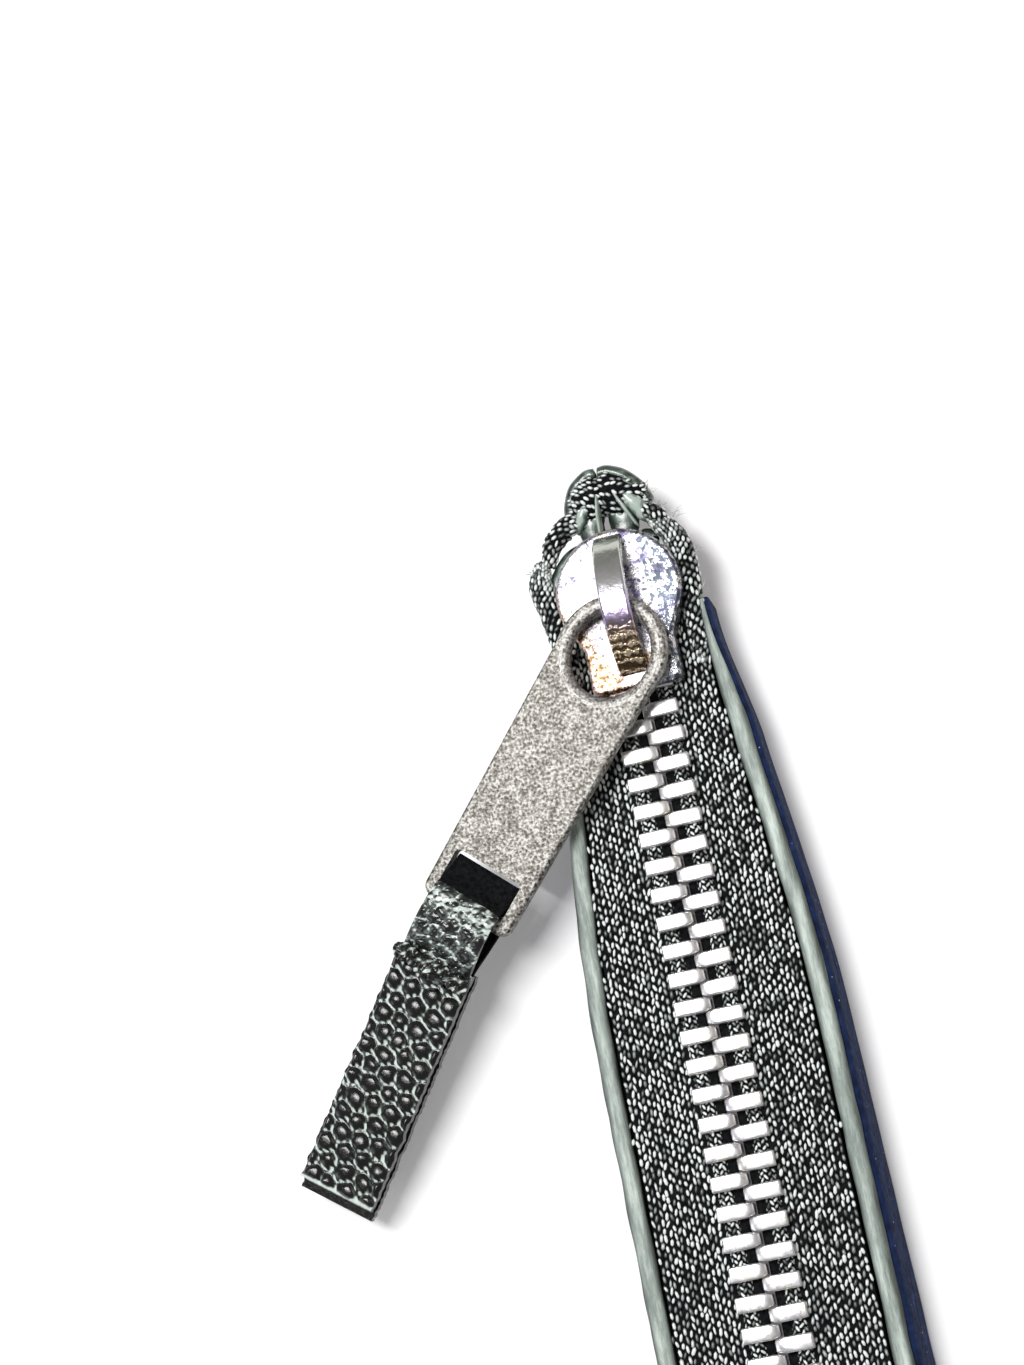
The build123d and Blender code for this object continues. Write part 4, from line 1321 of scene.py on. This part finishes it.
# %% Core, lip and loop
def core_shape(turn, way):
    across, above = rounded(turn, strap_width / 2 - 0.22, half_core - 0.01, 8)
    down = 0.1 + (strap_length - tip_step + 0.15) * way
    return strap_point(across + 0.05 * ripple(down, across, 1.3, 40) * np.sign(across), down, above)


core = roll("strap_core_edge", 40, 160, core_shape)
finish_piece(smooth(core, 60), raw.material, "strap", "core_leather", "strap_core")


lip_width = strap_width + 0.7


def lip_shape(turn, way):
    x = (way - 0.5) * lip_width
    along, up = rounded(turn, 0.80, 0.60, 2.4)
    ends = np.sqrt(np.clip(1 - np.abs(2 * way - 1) ** 6, 0, 1)) * 0.9 + 0.1
    ridges = 1 + 0.17 * ripple(x, turn * 5, 1.0, 41) + 0.14 * ripple(x, turn * 5, 0.45, 42)
    groove = 0.22 * np.exp(-((along - 0.1 + 0.25 * ripple(x, 0 * x, 2.5, 43)) / 0.18) ** 2) * (up > 0)
    down = 0.85 + 0.11 * x + 0.15 * ripple(x, 0 * x, 3.0, 44) + along * ends * ridges
    return strap_point(x, down, half_core + layer_thick + 0.12 + (up * ridges - groove) * ends)


lip = roll("strap_folded_lip", 44, 150, lip_shape)
lip_points = points_of(lip) / mm
# The lip's painted value is a painted highlight in broken patches over its ridges.
paint_value(lip, "sheen_and_wear", np.clip(0.22 + 0.75 * ripple(lip_points[:, 0], lip_points[:, 1], 0.6, 45), 0, 1))
finish_piece(smooth(lip, 60), pebbled.material, "strap", "black_leather", "strap_lip")

loop_half, loop_long, slot_from = 3.35, 22.0, 0.335
loop_route = [(along, up, 0.0) for along, up in (
    (5.6, 0.66), (4.7, 1.0), (3.6, 1.42), (2.4, 1.70), (1.2, 1.74), (0.0, 1.60), (-1.0, 1.05), (-1.75, 0.25),
    (-2.9, -0.15), (-3.6, -0.45), (-2.9, -0.95), (-1.6, -1.35), (0.0, -1.66), (1.2, -1.60), (2.4, -1.35),
    (3.6, -1.0), (4.7, -0.70), (5.6, -0.62),
)]
loop_values = {}


def loop_shape(u, v):
    place = smooth_path(loop_route, v)
    ahead = smooth_path(loop_route, v + 0.01) - smooth_path(loop_route, v - 0.01)
    ahead /= np.maximum(np.linalg.norm(ahead, axis=-1, keepdims=True), 1e-9)
    x = (u - 0.5) * 2 * loop_half * (1 + 0.05 * ease(0.35, 0.0, v))
    y = v * loop_long
    height, net = pebble_field(x, y, 1.7, 55)
    fine = 0.06 * ripple(x, y, 0.8, 56) + 0.05 * ripple(x, y, 0.45, 57)
    rim = ease(0.0, 0.4, loop_half - np.abs(x))
    relief = ((0.12 * height + fine) * rim - 0.12 * (1 - rim)) * (v < slot_from)
    along = place[..., 0] + ahead[..., 1] * relief
    up = place[..., 1] + ahead[..., 0] * -relief
    # A painted highlight where the loop turns over the bar, broken up by noise, on top of the net's painted highlight.
    bend_highlight = np.exp(-(((v - 0.275) / 0.04) ** 2))
    highlight_breakup = 0.45 + 0.9 * ripple(x, y, 0.6, 58)
    loop_values["net"] = np.clip(0.30 + 0.55 * net + 0.55 * bend_highlight * highlight_breakup, 0, 1.1)
    # Faces past slot_from, inside the slot, get painted shade from the black second material.
    loop_values["in_slot"] = v > slot_from
    return strap_bar + tab_down * along[..., None] + tab_across * x[..., None] + tab_up * up[..., None]


loop = grid_piece("strap_neck", 56, 190, loop_shape)
paint_value(loop, "sheen_and_wear", loop_values["net"])
for face in loop.data.polygons:
    face.material_index = int(all(loop_values["in_slot"][i] for i in face.vertices))
thicken(loop, 0.5, 0.0)
face_outwards(loop)
# These numbers are kept and put back, because finish_piece renews the piece's materials.
slot_shade_faces = np.zeros(len(loop.data.polygons), np.int32)
loop.data.polygons.foreach_get("material_index", slot_shade_faces)
finish_piece(smooth(loop, 55), pebbled.material, "strap", "black_leather", "strap_loop")
# The second material, black woven ground, is painted shade on the slack inside the slot.
loop.data.materials.append(weave_ground.material)
loop.data.polygons.foreach_set("material_index", slot_shade_faces)

# %% [markdown]
# ## End tab
# The lower end of the chain is closed by two small leather plates with the tape between them.
# Each starts as a cube. A bevel in edit mode rounds its corners, and a bevel modifier softens its rims.

# %% End tab
for node in ("end_tab_top", "end_tab_bottom"):
    low, high = box_mm(node)
    deselect()
    bpy.ops.mesh.primitive_cube_add(size=1, location=tuple((low + high) / 2 * mm))
    plate = bpy.context.object
    plate.name = plate.data.name = node + "_leather"
    plate.scale = (high - low) * mm
    bpy.ops.object.transform_apply(location=True, rotation=False, scale=True)
    for edge in plate.data.edges:
        start, end = (plate.data.vertices[i].co for i in edge.vertices)
        edge.select = abs(start.z - end.z) > 0.5 * mm
    for part in (*plate.data.vertices, *plate.data.polygons):
        part.select = False
    bpy.ops.object.mode_set(mode="EDIT")
    bpy.ops.mesh.select_mode(type="EDGE")
    bpy.ops.mesh.bevel(offset=1.8 * mm, segments=8)
    bpy.ops.object.mode_set(mode="OBJECT")
    round_edges = plate.modifiers.new("rounded rim", "BEVEL")
    round_edges.width, round_edges.segments, round_edges.limit_method = 0.35 * mm, 4, "ANGLE"
    bpy.ops.object.modifier_apply(modifier=round_edges.name)
    smooth(plate, 40)
    paint_value(plate, "sheen_and_wear", np.zeros(len(plate.data.vertices)))
    finish_piece(plate, pebbled.material, "base", "black_leather", node)

# %% [markdown]
# ## Floor
# A plain pale floor catches the soft shadow under the pull and the strap.
# It glows faintly, as a lit acrylic sheet does, which keeps those shadows pale.

# %% Floor
deselect()
bpy.ops.mesh.primitive_plane_add(size=3.0, location=(0, 0, 0))
floor = bpy.context.object
floor.name = "floor"
floor_finish = Finish("pale floor", 0.9)
floor_finish.colour(floor_finish.ramp(
    floor_finish.noise(3, 2), (0.3, (0.93, 0.925, 0.93)), (0.7, (0.95, 0.945, 0.95))
))
floor_finish.set(Emission_Color=(1.0, 0.99, 1.0, 1.0), Emission_Strength=0.12)
floor.data.materials.append(floor_finish.material)
